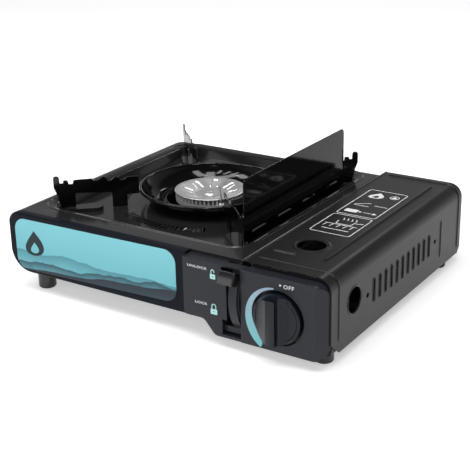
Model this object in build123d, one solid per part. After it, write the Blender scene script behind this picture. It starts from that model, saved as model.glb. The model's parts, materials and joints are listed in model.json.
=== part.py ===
from build123d import *

import os
from math import cos, hypot, pi, radians, sin

# ---------------------------------------------------------------------------
# Single burner cassette stove.  Millimetres.
#
# The stove is drawn in its own bench frame: X runs to the right along the
# front, with 0 at the left side; Y runs to the back, with 0 at the face of the
# front panel; Z runs up, with 0 at the floor.  save() moves every piece so
# that the origin ends up under the middle of the whole stove.
# ---------------------------------------------------------------------------

# ---- overall body
WIDTH = 342.0
DEPTH = 276.0
BAY_WIDTH = 84.5
SHEET = 0.8
PLATE_TOP = 78.2
LID_TOP = 80.2
SEAT_GAP = 0.2
REST_GAP = 0.3
RUN_FIT = 0.05
CUT_MARGIN = 1.0

# ---- lower case
BAY_FLOOR = 10.3
BURNER_FLOOR = 19.4
CASE_TAPER = 2.3
CASE_LEFT_RADIUS = 22.0
CASE_RIGHT_RADIUS = 4.0
CASE_TOP_RADIUS = 10.0
STEP_FROM_BAY = 28.5
STEP_WIDTH = 9.0
STEP_RADIUS = 3.0
LIP_HEIGHT = 6.0
LIP_END_MARGIN = 12.0
VENT_WIDTH = 3.0
VENT_LENGTH = 22.0
VENT_ROW_OFFSET = 26.0
FLOOR_VENT_PITCH = 12.0
FLOOR_VENT_COUNT = 9
REAR_VENT_PITCH = 10.0
REAR_VENT_COUNT = 7
REAR_VENT_Z = 42.0

# ---- top plate and its tray
PLATE_EDGE_RADIUS = 11.7
PLATE_CORNER_RADIUS = 16.0
SKIRT_DEPTH = 18.0
RIGHT_FLANGE_DEPTH = 11.5
TRAY_LEFT = 16.8
TRAY_RIGHT_RIM = 11.7
TRAY_FRONT = 25.1
TRAY_BACK_RIM = 9.9
TRAY_RADIUS = 16.0
TRAY_FLOOR = 68.0
TRAY_DRAFT = 20.0
STEP_MARGIN = 7.0
STEP_DEPTH = 1.2
COLLAR_PAST_ELECTRODE = 4.5
COLLAR_HEIGHT = 3.0
PAD_HEIGHT = 3.9
PAD_FROM_CORNER = 16.0
PAD_LENGTH = 23.0
PAD_INNER_SIZE = 8.0
PAD_OUTER_SIZE = 6.0
AIR_SLOT_FROM_WALL = 27.5
AIR_SLOT_LENGTH = 11.0
AIR_SLOT_WIDTH = 2.4
AIR_SLOT_PITCH = 3.0
AIR_SLOT_COUNT = 21

# ---- front panel and label
PANEL_THICK = 7.0
PANEL_FROM_BAY = 53.3
PANEL_JOINT = 0.3
MOULD_WALL = 2.2
PANEL_EDGE = 2.0
LABEL_LEFT = 8.0
LABEL_FROM_END = 11.2
LABEL_LOW_LEFT = 21.9
LABEL_LOW_RIGHT = 27.5
LABEL_HIGH_LEFT = 73.0
LABEL_HIGH_RIGHT = 75.8
LABEL_RADIUS = 12.0
LABEL_THICK = 0.5
LABEL_POCKET = 0.3

# ---- control housing
HOUSING_END_RIM = 1.6
HOUSING_SLANT = 6.2
HOUSING_TOP = 75.8
HOUSING_LOW = 9.8
HOUSING_LABEL_LOW = 23.0
HOUSING_PROUD = 6.7
LABEL_PLATE_PROUD = 5.5
HOUSING_SLANT_BACK = 4.0
HOUSING_CORNER = 10.0
HOUSING_SMALL_CORNER = 3.0
HOUSING_EDGE = 0.9
LOBE_IN = 20.5
LOBE_LENGTH = 11.0
LOBE_RADIUS = 7.0
RECESS_RADIUS = 24.4
RECESS_DEPTH = 5.0
LATCH_SLOT_FROM_BAY = 2.4
LATCH_SLOT_LENGTH = 10.5
LATCH_SLOT_FRONT = 3.6

# ---- knob
KNOB_FROM_RIGHT = 43.2
KNOB_Z = 41.1
KNOB_RADIUS = 22.4
KNOB_PROUD = 3.4
KNOB_EDGE = 1.2
KNOB_CLEAR = 0.8
KNOB_TURN = 150.0
GRIP_PROUD = 13.0
GRIP_HALF = 4.2
GRIP_FOOT_LEFT = 19.0
GRIP_FOOT_RIGHT = 10.5
GRIP_SAG = 2.0
GRIP_END_TAPER = 2.6
HUB_RADIUS = 6.5
SPINDLE_RADIUS = 3.0
SPINDLE_INTO_KNOB = 7.0
SPINDLE_INTO_VALVE = 8.0
FLAT_DEPTH = 0.8
SPINDLE_HOLE = 5.0
CAM_RADIUS = 12.0
CAM_RISE = 3.5
CAM_THICK = 3.0
CAM_BEHIND = 1.0
CAM_STEP = 15.0

# ---- lock lever
LEVER_SLOT_FROM_BAY = 13.9
LEVER_SLOT_WIDTH = 19.0
LEVER_SLOT_LOW = 12.5
LEVER_SLOT_TOP = 74.6
LEVER_POCKET_TOP = 26.5
LEVER_RECESS_LOW = 61.5
LEVER_STRIP_WIDTH = 4.7
LEVER_BAR_LOW = 14.5
LEVER_BAR_HIGH = 20.0
LEVER_BAR_FRONT = -1.5
LEVER_BAR_BACK = 3.5
LEVER_PIVOT_Y = 34.0
LEVER_PIVOT_Z = 47.0
LEVER_REACH = 53.0
LEVER_REST = 25.0
LEVER_HUB_RADIUS = 5.0
LEVER_PAD_DEPTH = 7.8
LEVER_PAD_HALF_ANGLE = 6.5
LEVER_PAD_IN = 1.7
LEVER_PAD_LENGTH = 15.7
LEVER_PAD_EDGE = 1.2
LEVER_ARM_IN = 5.3
LEVER_ARM_WIDTH = 4.0
LEVER_ARM_HEIGHT = 8.0
LEVER_PIN_RADIUS = 2.5
LEVER_PIN_HEAD = 4.0
RAIL_GAP = 0.6
RAIL_THICK = 2.0
RAIL_HALF_ANGLE = 37.0
RAIL_EDGE_GAP = 1.2
STUD_OFFSET = 9.0
STUD_RADIUS = 1.5
STUD_PLAY = 0.4
BRACKET_SHEET = 1.2
BRACKET_FOOT = 14.0

# ---- cartridge pusher
PUSHER_IN = 13.8
PUSHER_ROD_RADIUS = 1.5
PUSHER_ROD_TAIL = 2.5
PUSHER_FROM_BACK = 18.0
PUSHER_PLATE_THICK = 1.5
PUSHER_PLATE_RADIUS = 22.0
PUSHER_ARM_HEIGHT = 12.0
FORK_WIDTH = 3.6
FORK_HEIGHT = 9.8
FORK_WALL = 2.5
GUIDE_THICK = 3.0
GUIDE_HALF_WIDTH = 4.1
GUIDE_OVER_ROD = 4.0
GUIDE_FRONT_Y = 92.0
GUIDE_FROM_BACK = 44.0

# ---- cartridge bay
CARTRIDGE_RADIUS = 33.5
CARTRIDGE_Z = 45.6
CRADLE_CLEAR = 0.4
CRADLE_INNER = 8.0
CRADLE_OUTER = 24.0
CRADLE_TOP = 24.0
CRADLE_FRONT = 92.0
CRADLE_FROM_BACK = 40.0
BULKHEAD_Y = 47.0
BULKHEAD_SHEET = 1.0
BULKHEAD_TOP = 70.0
BULKHEAD_HALF_WIDTH = 36.4
BULKHEAD_FOOT = 9.0
BULKHEAD_CORNER = 8.0
PARTITION_FROM_BAY = 5.5
PARTITION_FRONT = 62.0
PARTITION_CORNER = 12.0
PARTITION_SLOTS = 6
PARTITION_SLOT_PITCH = 28.0

# ---- valve and regulator
VALVE_RADIUS = 15.0
VALVE_FRONT = 18.0
BOSS_RADIUS = 8.0
BOSS_FRONT = 12.5
PORT_RADIUS = 5.0
PORT_LENGTH = 9.0
PORT_Y = 37.0
PORT_DEPTH = 5.0
CHAMBER_RADIUS = 13.0
CHAMBER_Y = 32.0
CHAMBER_TOP = 63.0
COVER_THICK = 3.0
COVER_DOME_RADIUS = 7.5
COVER_DOME = 2.4
COVER_SCREW_RADIUS = 1.5
COVER_SCREW_HEAD = 2.2
COVER_SCREW_HEAD_HEIGHT = 1.5
COVER_SCREW_CIRCLE = 10.4
COVER_SCREW_COUNT = 3
COVER_SCREW_DEPTH = 5.0
NOZZLE_RADIUS = 6.0
NOZZLE_STEP_Y = 51.0
NOZZLE_TIP_RADIUS = 2.0
NOZZLE_TIP_Y = 56.0
SOCKET_RADIUS = 16.0
SOCKET_BORE = 12.8
SOCKET_LENGTH = 10.0
SOCKET_NOTCH = 6.0
SEAL_RADIUS = 8.0
SEAL_THICK = 2.5

# ---- burner
CAP_RADIUS = 34.8
CAP_TOP = 79.2
CAP_SHEET = 1.0
CAP_DISH = 5.4
CAP_RIM_WIDTH = 3.4
CAP_WELL_RADIUS = 14.0
CAP_BUTTON_RADIUS = 6.5
CAP_BUTTON_HEIGHT = 1.2
CAP_ARCHES = 8
ARCH_CIRCLE = 22.5
ARCH_LENGTH = 12.0
ARCH_WIDTH = 7.0
ARCH_PROUD = 0.7
HEAD_RADIUS = 34.0
HEAD_WALL = 2.6
HEAD_SLOTS = 52
HEAD_SLOT_WIDTH = 2.5
HEAD_SLOT_HEIGHT = 5.2
HEAD_FLOOR = 1.4
HEAD_BORE = 22.0
CUP_RADIUS = 30.0
CUP_FOOT_RADIUS = 18.0
CUP_LOW = 27.0
CUP_WAIST = 54.0
CUP_WALL = 2.0
CUP_TOP = 70.6
CUP_FLANGE = 1.6
CUP_BOSS_WALL = 2.2
CUP_BOSS_OUT = 37.0
CUP_BRACKET_HALF_WIDTH = 10.0
CUP_BRACKET_TOP = 24.0
CUP_BRACKET_FOOT = 15.0

# ---- mixing tube, jet and gas pipe
MIXER_Z = 40.0
JET_FROM_BAY = 17.5
JET_Y = 56.0
MIXER_THROAT = 7.0
MIXER_MOUTH = 10.5
MIXER_END = 9.0
MIXER_WALL = 1.0
MIXER_MOUTH_LENGTH = 14.0
MIXER_THROAT_LENGTH = 18.0
MIXER_RIB = 1.2
MIXER_COLLAR = 2.0
MIXER_COLLAR_START = 4.0
MIXER_COLLAR_LENGTH = 5.0
JET_RADIUS = 4.5
JET_LENGTH = 11.0
JET_NOSE_LENGTH = 4.0
JET_NOSE_RADIUS = 1.6
JET_AIR_GAP = 5.0
JET_ORIFICE = 0.5
JET_BORE_DEPTH = 4.0
PIPE_RADIUS = 2.5
PIPE_BEND = 14.0
SADDLE_LENGTH = 12.0
SADDLE_HALF_WIDTH = 9.0
SADDLE_POSITION = 62.0

# ---- ignition
ELECTRODE_ANGLE = -40.0
ELECTRODE_R = 39.5
CERAMIC_RADIUS = 2.6
CERAMIC_LOW = 60.0
CERAMIC_TOP = 76.0
SPIKE_RADIUS = 0.9
SPIKE_TIP_RADIUS = 0.3
SPIKE_BASE_Z = 79.0
SPIKE_LEAN = 5.9
SPIKE_TIP_Z = 91.5
TAIL_Z = 57.0
TAIL_LENGTH = 4.0
SHELF_Z = 63.0
SHELF_PAST_ELECTRODE = 5.0
SHELF_START = -48.0
GUARD_START = -34.0
GUARD_END = 2.0
GUARD_R = 38.2
GUARD_TOP = 77.6
IGNITER_ANGLE = -150.0
IGNITER_Y = 13.8
IGNITER_RADIUS = 5.5
IGNITER_NEAR = 21.0
IGNITER_FAR = 43.0
IGNITER_CLIP_IN = 26.8
IGNITER_CLIP_LENGTH = 8.0
PLUNGER_RADIUS = 3.2
PLUNGER_GAP = 0.35
PLUNGER_DEPTH = 10.0
LEAD_RADIUS = 1.2
LEAD_HEIGHT = 3.5
LEAD_SIDE = 18.0
LEAD_TURN_IN = 49.0
LEAD_BEND = 0.45
LEAD_TURN_Y = 55.0

# ---- pan support
BOWL_RIM_RADIUS = 69.6
BOWL_RIM_TOP = 84.0
BOWL_ROLL = 1.6
BOWL_SHEET = 0.8
BOWL_HOLE_PAST_COLLAR = 2.6
BOWL_FLOOR_WIDTH = 8.4
BOWL_LIP = 3.0
BLADE_THICK = 1.2
BLADE_GAP = 0.15
BLADE_COUNT = 4
BLADE_START_ANGLE = 45.0
TIP_PAST_PAD = 15.0
TIP_HEIGHT = 104.0
TIP_ROUND = 2.2
TIP_ROUND_ROOM = 2.5
BEAM_LOW_OUTER = 86.0
BEAM_LOW_INNER = 84.0
BEAM_STEP = 1.0
LEG_FROM_RIM = 11.9
LEG_WIDTH = 14.5
FOOT_WIDTH = 14.6
FOOT_FROM_TIP = 5.4
HEEL_Z = 75.0
ELBOW_Z = 84.0
ELBOW_FROM_TIP = 3.4
TIP_LOW = 93.0
WING_LOW = 80.5
CORNER_SOFT = 1.0
TEETH = (
    (0.0, 97.6, 0.0), (1.7, 98.0, 0.0), (11.3, 98.0, CORNER_SOFT),
    (14.3, 95.5, 0.0), (17.8, 95.5, 0.0), (19.3, 98.8, CORNER_SOFT),
    (23.3, 98.8, CORNER_SOFT), (26.8, 95.8, 0.0), (29.8, 95.8, 0.0),
    (31.8, 100.0, CORNER_SOFT), (34.8, 100.0, CORNER_SOFT), (39.3, 97.0, 0.0),
    (42.8, 97.0, 0.0), (44.8, 99.1, 0.0), (62.1, 99.1, CORNER_SOFT),
    (63.2, 95.3, 0.0), (66.9, 95.3, 0.0), (67.8, 99.3, CORNER_SOFT),
    (71.9, 99.3, CORNER_SOFT), (72.4, 96.6, 0.0), (75.4, 96.6, 0.0),
    (75.9, TIP_HEIGHT, TIP_ROUND), (81.3, TIP_HEIGHT, TIP_ROUND),
)

# ---- wind shield
SHIELD_FROM_WALL = 10.2
SHIELD_THICK = 1.0
SHIELD_FRONT_RIM = 28.1
SHIELD_BACK_RIM = 37.6
SHIELD_TOP = 130.4
SHIELD_CORNER = 5.0
SHIELD_FOOT = 5.0
SHIELD_NOTCH = 6.0
SHIELD_SLOT_Z = 79.4
SHIELD_SLOT_HEIGHT = 1.8
SHIELD_SLOT_LENGTH = 24.0
SHIELD_SLOT_TO_END = 25.1
SHIELD_SLOTS = 4
SHIELD_TAB = 2.4

# ---- lid
LID_GAP = 1.1
LID_FRONT = 4.0
LID_RADIUS = 13.0
LID_REAR_RADIUS = 3.0
LID_FRONT_CUT_Y = 14.5
LID_FRONT_CUT_Z = 12.0
LID_REAR_CUT = 8.0
SIDE_HOLE_RADIUS = 11.7
SIDE_HOLE_Y = 44.4
SIDE_HOLE_Z = 47.3
TOP_HOLE_RADIUS = 12.7
TOP_HOLE_FROM_RIGHT = 49.1
TOP_HOLE_Y = 60.2
TOP_RING_RADIUS = 16.4
BEAD_PROUD = 0.9
BEAD_WIDTH = 3.0
BEAD_ROUND = 0.6
EDGE_ROLL_WIDTH = 1.8
SIDE_SLOT_START = 81.1
SIDE_SLOT_TO_PIP = 14.2
SIDE_SLOT_COUNT = 11
SIDE_SLOT_LOW = 32.0
SIDE_SLOT_HIGH = 52.6
SIDE_SLOT_WIDTH = 2.8
PIP_HOLE_RADIUS = 2.3
PIP_HOLE_FRONT_Y = 69.0
PIP_HOLE_FROM_BACK = 65.7
PIP_HOLE_Z = 42.0
ARCH_BEAD_Y = 17.5
ARCH_BEAD_IN = 9.4
ARCH_BEAD_LOW = 22.0
REAR_BEAD_FROM_BACK = 10.0
REAR_BEAD_LOW = 18.0
LONG_BEAD_FROM_RIGHT = 23.5
LONG_BEAD_FRONT = 35.0
LONG_BEAD_FROM_BACK = 24.0
SHORT_BEAD_Y = 36.0
SHORT_BEAD_IN = 10.9
SHORT_BEAD_LENGTH = 21.0
SIDE_BEAD_FROM_BACK = 52.0
SIDE_BEAD_LOW = 22.6
SIDE_BEAD_HIGH = 57.3

# ---- lid hinge
HINGE_IN = 8.0
HINGE_DROP = 3.2
HINGE_PIN_RADIUS = 1.5
HINGE_HEAD_RADIUS = 2.1
HINGE_HEAD_THICK = 1.0
HINGE_EAR_RADIUS = 2.9
HINGE_EAR_THICK = 1.2
HINGE_EAR_LENGTH = 9.0
HINGE_BRACKET_RADIUS = 2.1
HINGE_BRACKET_LEFT = 0.5
HINGE_BRACKET_RIGHT = 8.0
HINGE_BRACKET_LOW = 52.0

# ---- feet and screws
FOOT_RADIUS = 8.5
FOOT_EDGE = 2.5
FRONT_FOOT_Y = 17.6
REAR_FOOT_FROM_BACK = 26.0
LEFT_FOOT_X = 26.7
RIGHT_FOOT_FROM_RIGHT = 13.5
SCREW_RADIUS = 1.6
SCREW_HEAD_RADIUS = 3.2
SCREW_HEAD_HEIGHT = 1.8
BULKHEAD_SCREW_OFFSET = 20.0

# ---- places worked out from the width and the depth
PLATE_RIGHT = WIDTH - BAY_WIDTH
LID_LEFT = PLATE_RIGHT + LID_GAP
STEP_START = PLATE_RIGHT - STEP_FROM_BAY
TRAY_HALF_X = (PLATE_RIGHT - TRAY_RIGHT_RIM - TRAY_LEFT) / 2 - STEP_MARGIN
TRAY_HALF_Y = (DEPTH - TRAY_BACK_RIM - TRAY_FRONT) / 2 - STEP_MARGIN
TRAY_HALF = min(TRAY_HALF_X, TRAY_HALF_Y)
BURNER_X = TRAY_LEFT + STEP_MARGIN + TRAY_HALF_X
BURNER_Y = TRAY_FRONT + STEP_MARGIN + TRAY_HALF_Y
PAD_OUTER_R = hypot(TRAY_HALF, TRAY_HALF) - PAD_FROM_CORNER
PAD_INNER_R = PAD_OUTER_R - PAD_LENGTH
COLLAR_RADIUS = ELECTRODE_R + COLLAR_PAST_ELECTRODE
BOWL_HOLE_RADIUS = COLLAR_RADIUS + BOWL_HOLE_PAST_COLLAR
BOWL_FLOOR_RADIUS = BOWL_HOLE_RADIUS + BOWL_FLOOR_WIDTH
SHELF_OUTER = ELECTRODE_R + SHELF_PAST_ELECTRODE
SPIKE_TIP_R = ELECTRODE_R - SPIKE_LEAN
AIR_SLOT_INNER = TRAY_HALF - AIR_SLOT_FROM_WALL
TIP_RADIUS = PAD_OUTER_R + TIP_PAST_PAD
FOOT_OUTER = TIP_RADIUS - FOOT_FROM_TIP
FOOT_INNER = FOOT_OUTER - FOOT_WIDTH
LEG_INNER = BOWL_RIM_RADIUS + LEG_FROM_RIM
LEG_OUTER = LEG_INNER + LEG_WIDTH
PANEL_RIGHT = PLATE_RIGHT - PANEL_FROM_BAY
LABEL_RIGHT = PANEL_RIGHT - LABEL_FROM_END
HOUSING_LEFT = PANEL_RIGHT + PANEL_JOINT
HOUSING_RIGHT = WIDTH - HOUSING_END_RIM
HOUSING_FACE_RIGHT = HOUSING_RIGHT - HOUSING_SLANT
LOBE_START = HOUSING_LEFT + LOBE_IN
LOBE_END = LOBE_START + LOBE_LENGTH
LATCH_SLOT_RIGHT = PLATE_RIGHT - LATCH_SLOT_FROM_BAY
LATCH_SLOT_LEFT = LATCH_SLOT_RIGHT - LATCH_SLOT_LENGTH
KNOB_X = WIDTH - KNOB_FROM_RIGHT
LEVER_X = PLATE_RIGHT - LEVER_SLOT_FROM_BAY
LEVER_PAD_LEFT = LEVER_X + LEVER_PAD_IN
LEVER_PAD_RIGHT = LEVER_PAD_LEFT + LEVER_PAD_LENGTH
LEVER_ARM_LEFT = LEVER_X + LEVER_ARM_IN
PUSHER_X = LEVER_X + PUSHER_IN
PUSHER_PLATE_Y = DEPTH - PUSHER_FROM_BACK
PUSHER_ROD_END = PUSHER_PLATE_Y + PUSHER_PLATE_THICK + PUSHER_ROD_TAIL
GUIDE_REAR_Y = DEPTH - GUIDE_FROM_BACK
CRADLE_REAR = DEPTH - CRADLE_FROM_BACK
PARTITION_X = PLATE_RIGHT - PARTITION_FROM_BAY
JET_X = PLATE_RIGHT - JET_FROM_BAY
IGNITER_CLIP_X = KNOB_X - IGNITER_CLIP_IN
LEAD_TURN_X = STEP_START - LEAD_TURN_IN
SHIELD_X = BURNER_X + TRAY_HALF_X - SHIELD_FROM_WALL
SHIELD_FRONT = TRAY_FRONT + SHIELD_FRONT_RIM
SHIELD_BACK = DEPTH - SHIELD_BACK_RIM
SHIELD_SLOT_PITCH = (SHIELD_BACK - SHIELD_FRONT - 2 * SHIELD_SLOT_TO_END) / (SHIELD_SLOTS - 1)
TOP_HOLE_X = WIDTH - TOP_HOLE_FROM_RIGHT
PIP_HOLE_REAR_Y = DEPTH - PIP_HOLE_FROM_BACK
SIDE_SLOT_END = PIP_HOLE_REAR_Y - SIDE_SLOT_TO_PIP
SIDE_SLOT_PITCH = (SIDE_SLOT_END - SIDE_SLOT_START) / (SIDE_SLOT_COUNT - 1)
ARCH_BEAD_LEFT = LID_LEFT + ARCH_BEAD_IN
REAR_BEAD_Y = DEPTH - REAR_BEAD_FROM_BACK
LONG_BEAD_X = WIDTH - LONG_BEAD_FROM_RIGHT
LONG_BEAD_REAR = DEPTH - LONG_BEAD_FROM_BACK
SHORT_BEAD_LEFT = LID_LEFT + SHORT_BEAD_IN
SHORT_BEAD_RIGHT = SHORT_BEAD_LEFT + SHORT_BEAD_LENGTH
SIDE_BEAD_Y = DEPTH - SIDE_BEAD_FROM_BACK
REAR_FOOT_Y = DEPTH - REAR_FOOT_FROM_BACK
RIGHT_FOOT_X = WIDTH - RIGHT_FOOT_FROM_RIGHT

# ---- values worked out from the ones above
CASE_INSET = SHEET + SEAT_GAP
CASE_FRONT = PANEL_THICK + SEAT_GAP
CASE_BACK = DEPTH - CASE_INSET
CASE_RIGHT = WIDTH - SHEET - REST_GAP
CASE_TOP = PLATE_TOP - CASE_INSET
CASE_WALL_TOP = PLATE_TOP - PLATE_EDGE_RADIUS
BAY_INSIDE = BAY_FLOOR + SHEET
BURNER_INSIDE = BURNER_FLOOR + SHEET
STEP_END = STEP_START + STEP_WIDTH
HINGE_X = LID_LEFT + HINGE_IN
HINGE_Z = LID_TOP - HINGE_DROP
LID_SWING = hypot(HINGE_IN, HINGE_DROP + BEAD_PROUD) + REST_GAP
SUPPORT_LOW = TRAY_FLOOR + REST_GAP
PAD_TOP = TRAY_FLOOR + PAD_HEIGHT
FACE_Y = -HOUSING_PROUD
KNOB_FRONT = FACE_Y - KNOB_PROUD
KNOB_BACK = FACE_Y + RECESS_DEPTH - KNOB_CLEAR
LEVER_STRIP = LEVER_X + LEVER_STRIP_WIDTH
GRIP_FRONT = FACE_Y - GRIP_PROUD
CAM_FRONT = CASE_FRONT + SHEET + CAM_BEHIND
SLOT_RIGHT = LEVER_X + LEVER_SLOT_WIDTH
LEVER_ARM_RIGHT = LEVER_ARM_LEFT + LEVER_ARM_WIDTH
RAIL_RADIUS = LEVER_REACH - LEVER_PAD_DEPTH - RAIL_GAP
STUD_REST_Y = LEVER_PIVOT_Y + STUD_OFFSET * sin(radians(LEVER_REST))
STUD_MEAN_Z = LEVER_PIVOT_Z + STUD_OFFSET * (1 + cos(radians(LEVER_REST))) / 2
HEAD_LOW = CUP_TOP + SEAT_GAP
HEAD_TOP = CAP_TOP - CAP_SHEET - SEAT_GAP
MIXER_LENGTH = hypot(BURNER_X - JET_X, BURNER_Y - JET_Y)
MIXER_COS = (BURNER_X - JET_X) / MIXER_LENGTH
MIXER_SIN = (BURNER_Y - JET_Y) / MIXER_LENGTH
MIXER_START = JET_LENGTH + JET_NOSE_LENGTH + JET_AIR_GAP
MIXER_STOP = MIXER_LENGTH - CUP_RADIUS
ROW_MIDDLE_X = (WIDTH + BEAD_PROUD) / 2
ROW_MIDDLE_Y = (DEPTH + GRIP_FRONT) / 2


# ---------------------------------------------------------------------------
# drawing helpers
# ---------------------------------------------------------------------------
def block(x0, x1, y0, y1, z0, z1):
    """A box between two corners."""
    middle = Pos((x0 + x1) / 2, (y0 + y1) / 2, (z0 + z1) / 2)
    return middle * Box(x1 - x0, y1 - y0, z1 - z0)


def along_x(sketch, x0, x1):
    """Extrude a sketch drawn in (Y, Z) from x0 to x1."""
    return extrude(Plane.YZ.offset(x0) * sketch, amount=x1 - x0)


def along_y(sketch, y0, y1):
    """Extrude a sketch drawn in (X, Z) from y0 to y1."""
    return extrude(Plane.XZ.offset(-y1) * sketch, amount=y1 - y0)


def along_z(sketch, z0, z1):
    """Extrude a sketch drawn in (X, Y) from z0 to z1."""
    return extrude(Pos(0, 0, z0) * sketch, amount=z1 - z0)


def disc(x, y, radius):
    """A circle at a point of its own sketch plane."""
    return Pos(x, y) * Circle(radius)


def pane(x0, x1, y0, y1):
    """A rectangle between two corners of its sketch plane."""
    return Pos((x0 + x1) / 2, (y0 + y1) / 2) * Rectangle(x1 - x0, y1 - y0)


def outline(points):
    """A closed polygon through points of its sketch plane."""
    return make_face(Polyline(*points, close=True))


def soften(sketch, point, radius):
    """Round the one corner of a sketch that lies nearest to a point."""
    corner = sketch.vertices().sort_by_distance((point[0], point[1], 0))[0]
    return fillet(corner, radius)


def rod(start, end, radius):
    """A round bar between two points."""
    line = Vector(*end) - Vector(*start)
    return extrude(Plane(origin=start, z_dir=line) * Circle(radius), amount=line.length)


def cone(start, end, radius, end_radius):
    """A tapered round bar between two points."""
    line = Vector(*end) - Vector(*start)
    near = Plane(origin=start, z_dir=line)
    return loft([near * Circle(radius), near.offset(line.length) * Circle(end_radius)])


def turned(points, x=BURNER_X, y=BURNER_Y):
    """Revolve a profile of (radius, height) points about an upright axis."""
    return Pos(x, y) * revolve(Plane.XZ * outline(points), Axis.Z)


def polar(radius, angle, x=BURNER_X, y=BURNER_Y):
    """A point at a radius and an angle about a centre."""
    return x + radius * cos(radians(angle)), y + radius * sin(radians(angle))


def sector(x, y, inner, outer, start, end):
    """Part of a ring between two angles, as a sketch."""
    ring = disc(x, y, outer) - disc(x, y, inner)
    middle = (start + end) / 2
    reach = 2 * outer
    wedge = outline([(x, y), polar(reach, start, x, y),
                     polar(reach, middle, x, y), polar(reach, end, x, y)])
    return ring & wedge


def spaced(count, pitch, middle=0.0):
    """Evenly spaced positions about a middle."""
    return [middle + (index - (count - 1) / 2) * pitch for index in range(count)]


def several(shapes):
    """Gather the separate solids that make one node."""
    return Compound(children=[Solid(part.solid().wrapped) for part in shapes])


def d_bar(y0, y1, clearance=0.0):
    """The flatted end of the knob's spindle, or the bore that takes it."""
    radius = SPINDLE_RADIUS + clearance
    flat = KNOB_Z + SPINDLE_RADIUS - FLAT_DEPTH + clearance
    bar = rod((KNOB_X, y0, KNOB_Z), (KNOB_X, y1, KNOB_Z), radius)
    return bar - block(KNOB_X - radius, KNOB_X + radius, y0, y1, flat, flat + radius)


def spindle_point(radius, angle, y):
    """A point about the spindle's axis, by radius and angle in (X, Z)."""
    x, z = polar(radius, angle, KNOB_X, KNOB_Z)
    return x, y, z


def mixer_point(distance, z=MIXER_Z):
    """A point along the line from the jet to the burner."""
    return JET_X + MIXER_COS * distance, JET_Y + MIXER_SIN * distance, z


# ---------------------------------------------------------------------------
# lower case
# ---------------------------------------------------------------------------
def dome(inset, right, low):
    """A block with a round left and back edge, as the plate's skirt has."""
    body = block(inset, right, CASE_FRONT, DEPTH - inset, low, PLATE_TOP - inset)
    upright = body.edges().filter_by(Axis.Z).sort_by_distance((0, DEPTH, low))[0]
    body = fillet(upright, PLATE_CORNER_RADIUS - inset)
    top = body.faces().sort_by(Axis.Z)[-1]
    keep = [top.edges().sort_by(Axis.Y)[0], top.edges().sort_by(Axis.X)[-1]]
    rim = [edge for edge in top.edges() if all(not edge.is_same(other) for other in keep)]
    return fillet(rim, PLATE_EDGE_RADIUS - inset)


def case_section(inset):
    """Cross-section of the lower case, drawn in (X, Z), moved in by a wall."""
    over_top = CASE_TOP + CASE_LEFT_RADIUS
    corner = (CASE_INSET + CASE_TAPER, BURNER_FLOOR)
    section = outline([
        (CASE_INSET, over_top), corner,
        (STEP_START, BURNER_FLOOR), (STEP_END, BAY_FLOOR),
        (CASE_RIGHT, BAY_FLOOR), (CASE_RIGHT, over_top),
    ])
    section = soften(section, corner, CASE_LEFT_RADIUS)
    section = soften(section, (STEP_START, BURNER_FLOOR), STEP_RADIUS)
    section = soften(section, (STEP_END, BAY_FLOOR), STEP_RADIUS)
    section = soften(section, (CASE_RIGHT, BAY_FLOOR), CASE_RIGHT_RADIUS)
    if inset > 0:
        section = offset(section, amount=-inset)
    return section


def case_block(inset):
    """The lower case as a solid, moved in by a wall."""
    back = CASE_BACK - inset
    plan = pane(CASE_INSET + inset, CASE_RIGHT - inset, 0, back)
    plan = soften(plan, (CASE_INSET, back), PLATE_CORNER_RADIUS - CASE_INSET - inset)
    plan = soften(plan, (CASE_RIGHT, back), LID_REAR_RADIUS - inset)
    body = along_y(case_section(inset), CASE_FRONT + inset, CASE_BACK - inset)
    return body & along_z(plan, 0, CASE_TOP)


def make_bottom_case():
    case = case_block(0) - case_block(SHEET)
    inside_y = CASE_FRONT + SHEET
    case -= block(0, WIDTH, inside_y, DEPTH, CASE_WALL_TOP, PLATE_TOP)
    front = pane(CASE_INSET, CASE_RIGHT, 0, CASE_TOP)
    front = soften(front, (CASE_INSET, CASE_TOP), PLATE_EDGE_RADIUS - CASE_INSET)
    front = soften(front, (CASE_RIGHT, CASE_TOP), CASE_TOP_RADIUS)
    case &= along_y(front, 0, DEPTH)
    case -= block(CASE_RIGHT - CASE_RIGHT_RADIUS, WIDTH,
                  CASE_FRONT + LIP_END_MARGIN, CASE_BACK - LIP_END_MARGIN,
                  BAY_FLOOR + LIP_HEIGHT, PLATE_TOP)
    case -= block(LEVER_X, SLOT_RIGHT, 0, inside_y + SEAT_GAP, LEVER_BAR_HIGH, LEVER_SLOT_TOP)
    case -= rod((KNOB_X, 0, KNOB_Z), (KNOB_X, inside_y + SEAT_GAP, KNOB_Z), SPINDLE_HOLE)
    case -= block(PLATE_RIGHT, HINGE_X, 0, inside_y, HINGE_Z - LID_SWING, PLATE_TOP)
    slot = SlotOverall(VENT_LENGTH, VENT_WIDTH, rotation=90)
    for row_y in (BURNER_Y - VENT_ROW_OFFSET, BURNER_Y + VENT_ROW_OFFSET):
        for x in spaced(FLOOR_VENT_COUNT, FLOOR_VENT_PITCH, BURNER_X):
            case -= along_z(Pos(x, row_y) * slot, BAY_FLOOR, BURNER_INSIDE + SEAT_GAP)
    for x in spaced(REAR_VENT_COUNT, REAR_VENT_PITCH, BURNER_X):
        case -= along_y(Pos(x, REAR_VENT_Z) * slot, CASE_BACK - SHEET - SEAT_GAP, DEPTH)
    for x, y, floor in screw_places():
        case -= along_z(disc(x, y, SCREW_RADIUS + RUN_FIT),
                        floor - SEAT_GAP, floor + SHEET + SEAT_GAP)
    return case


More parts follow.
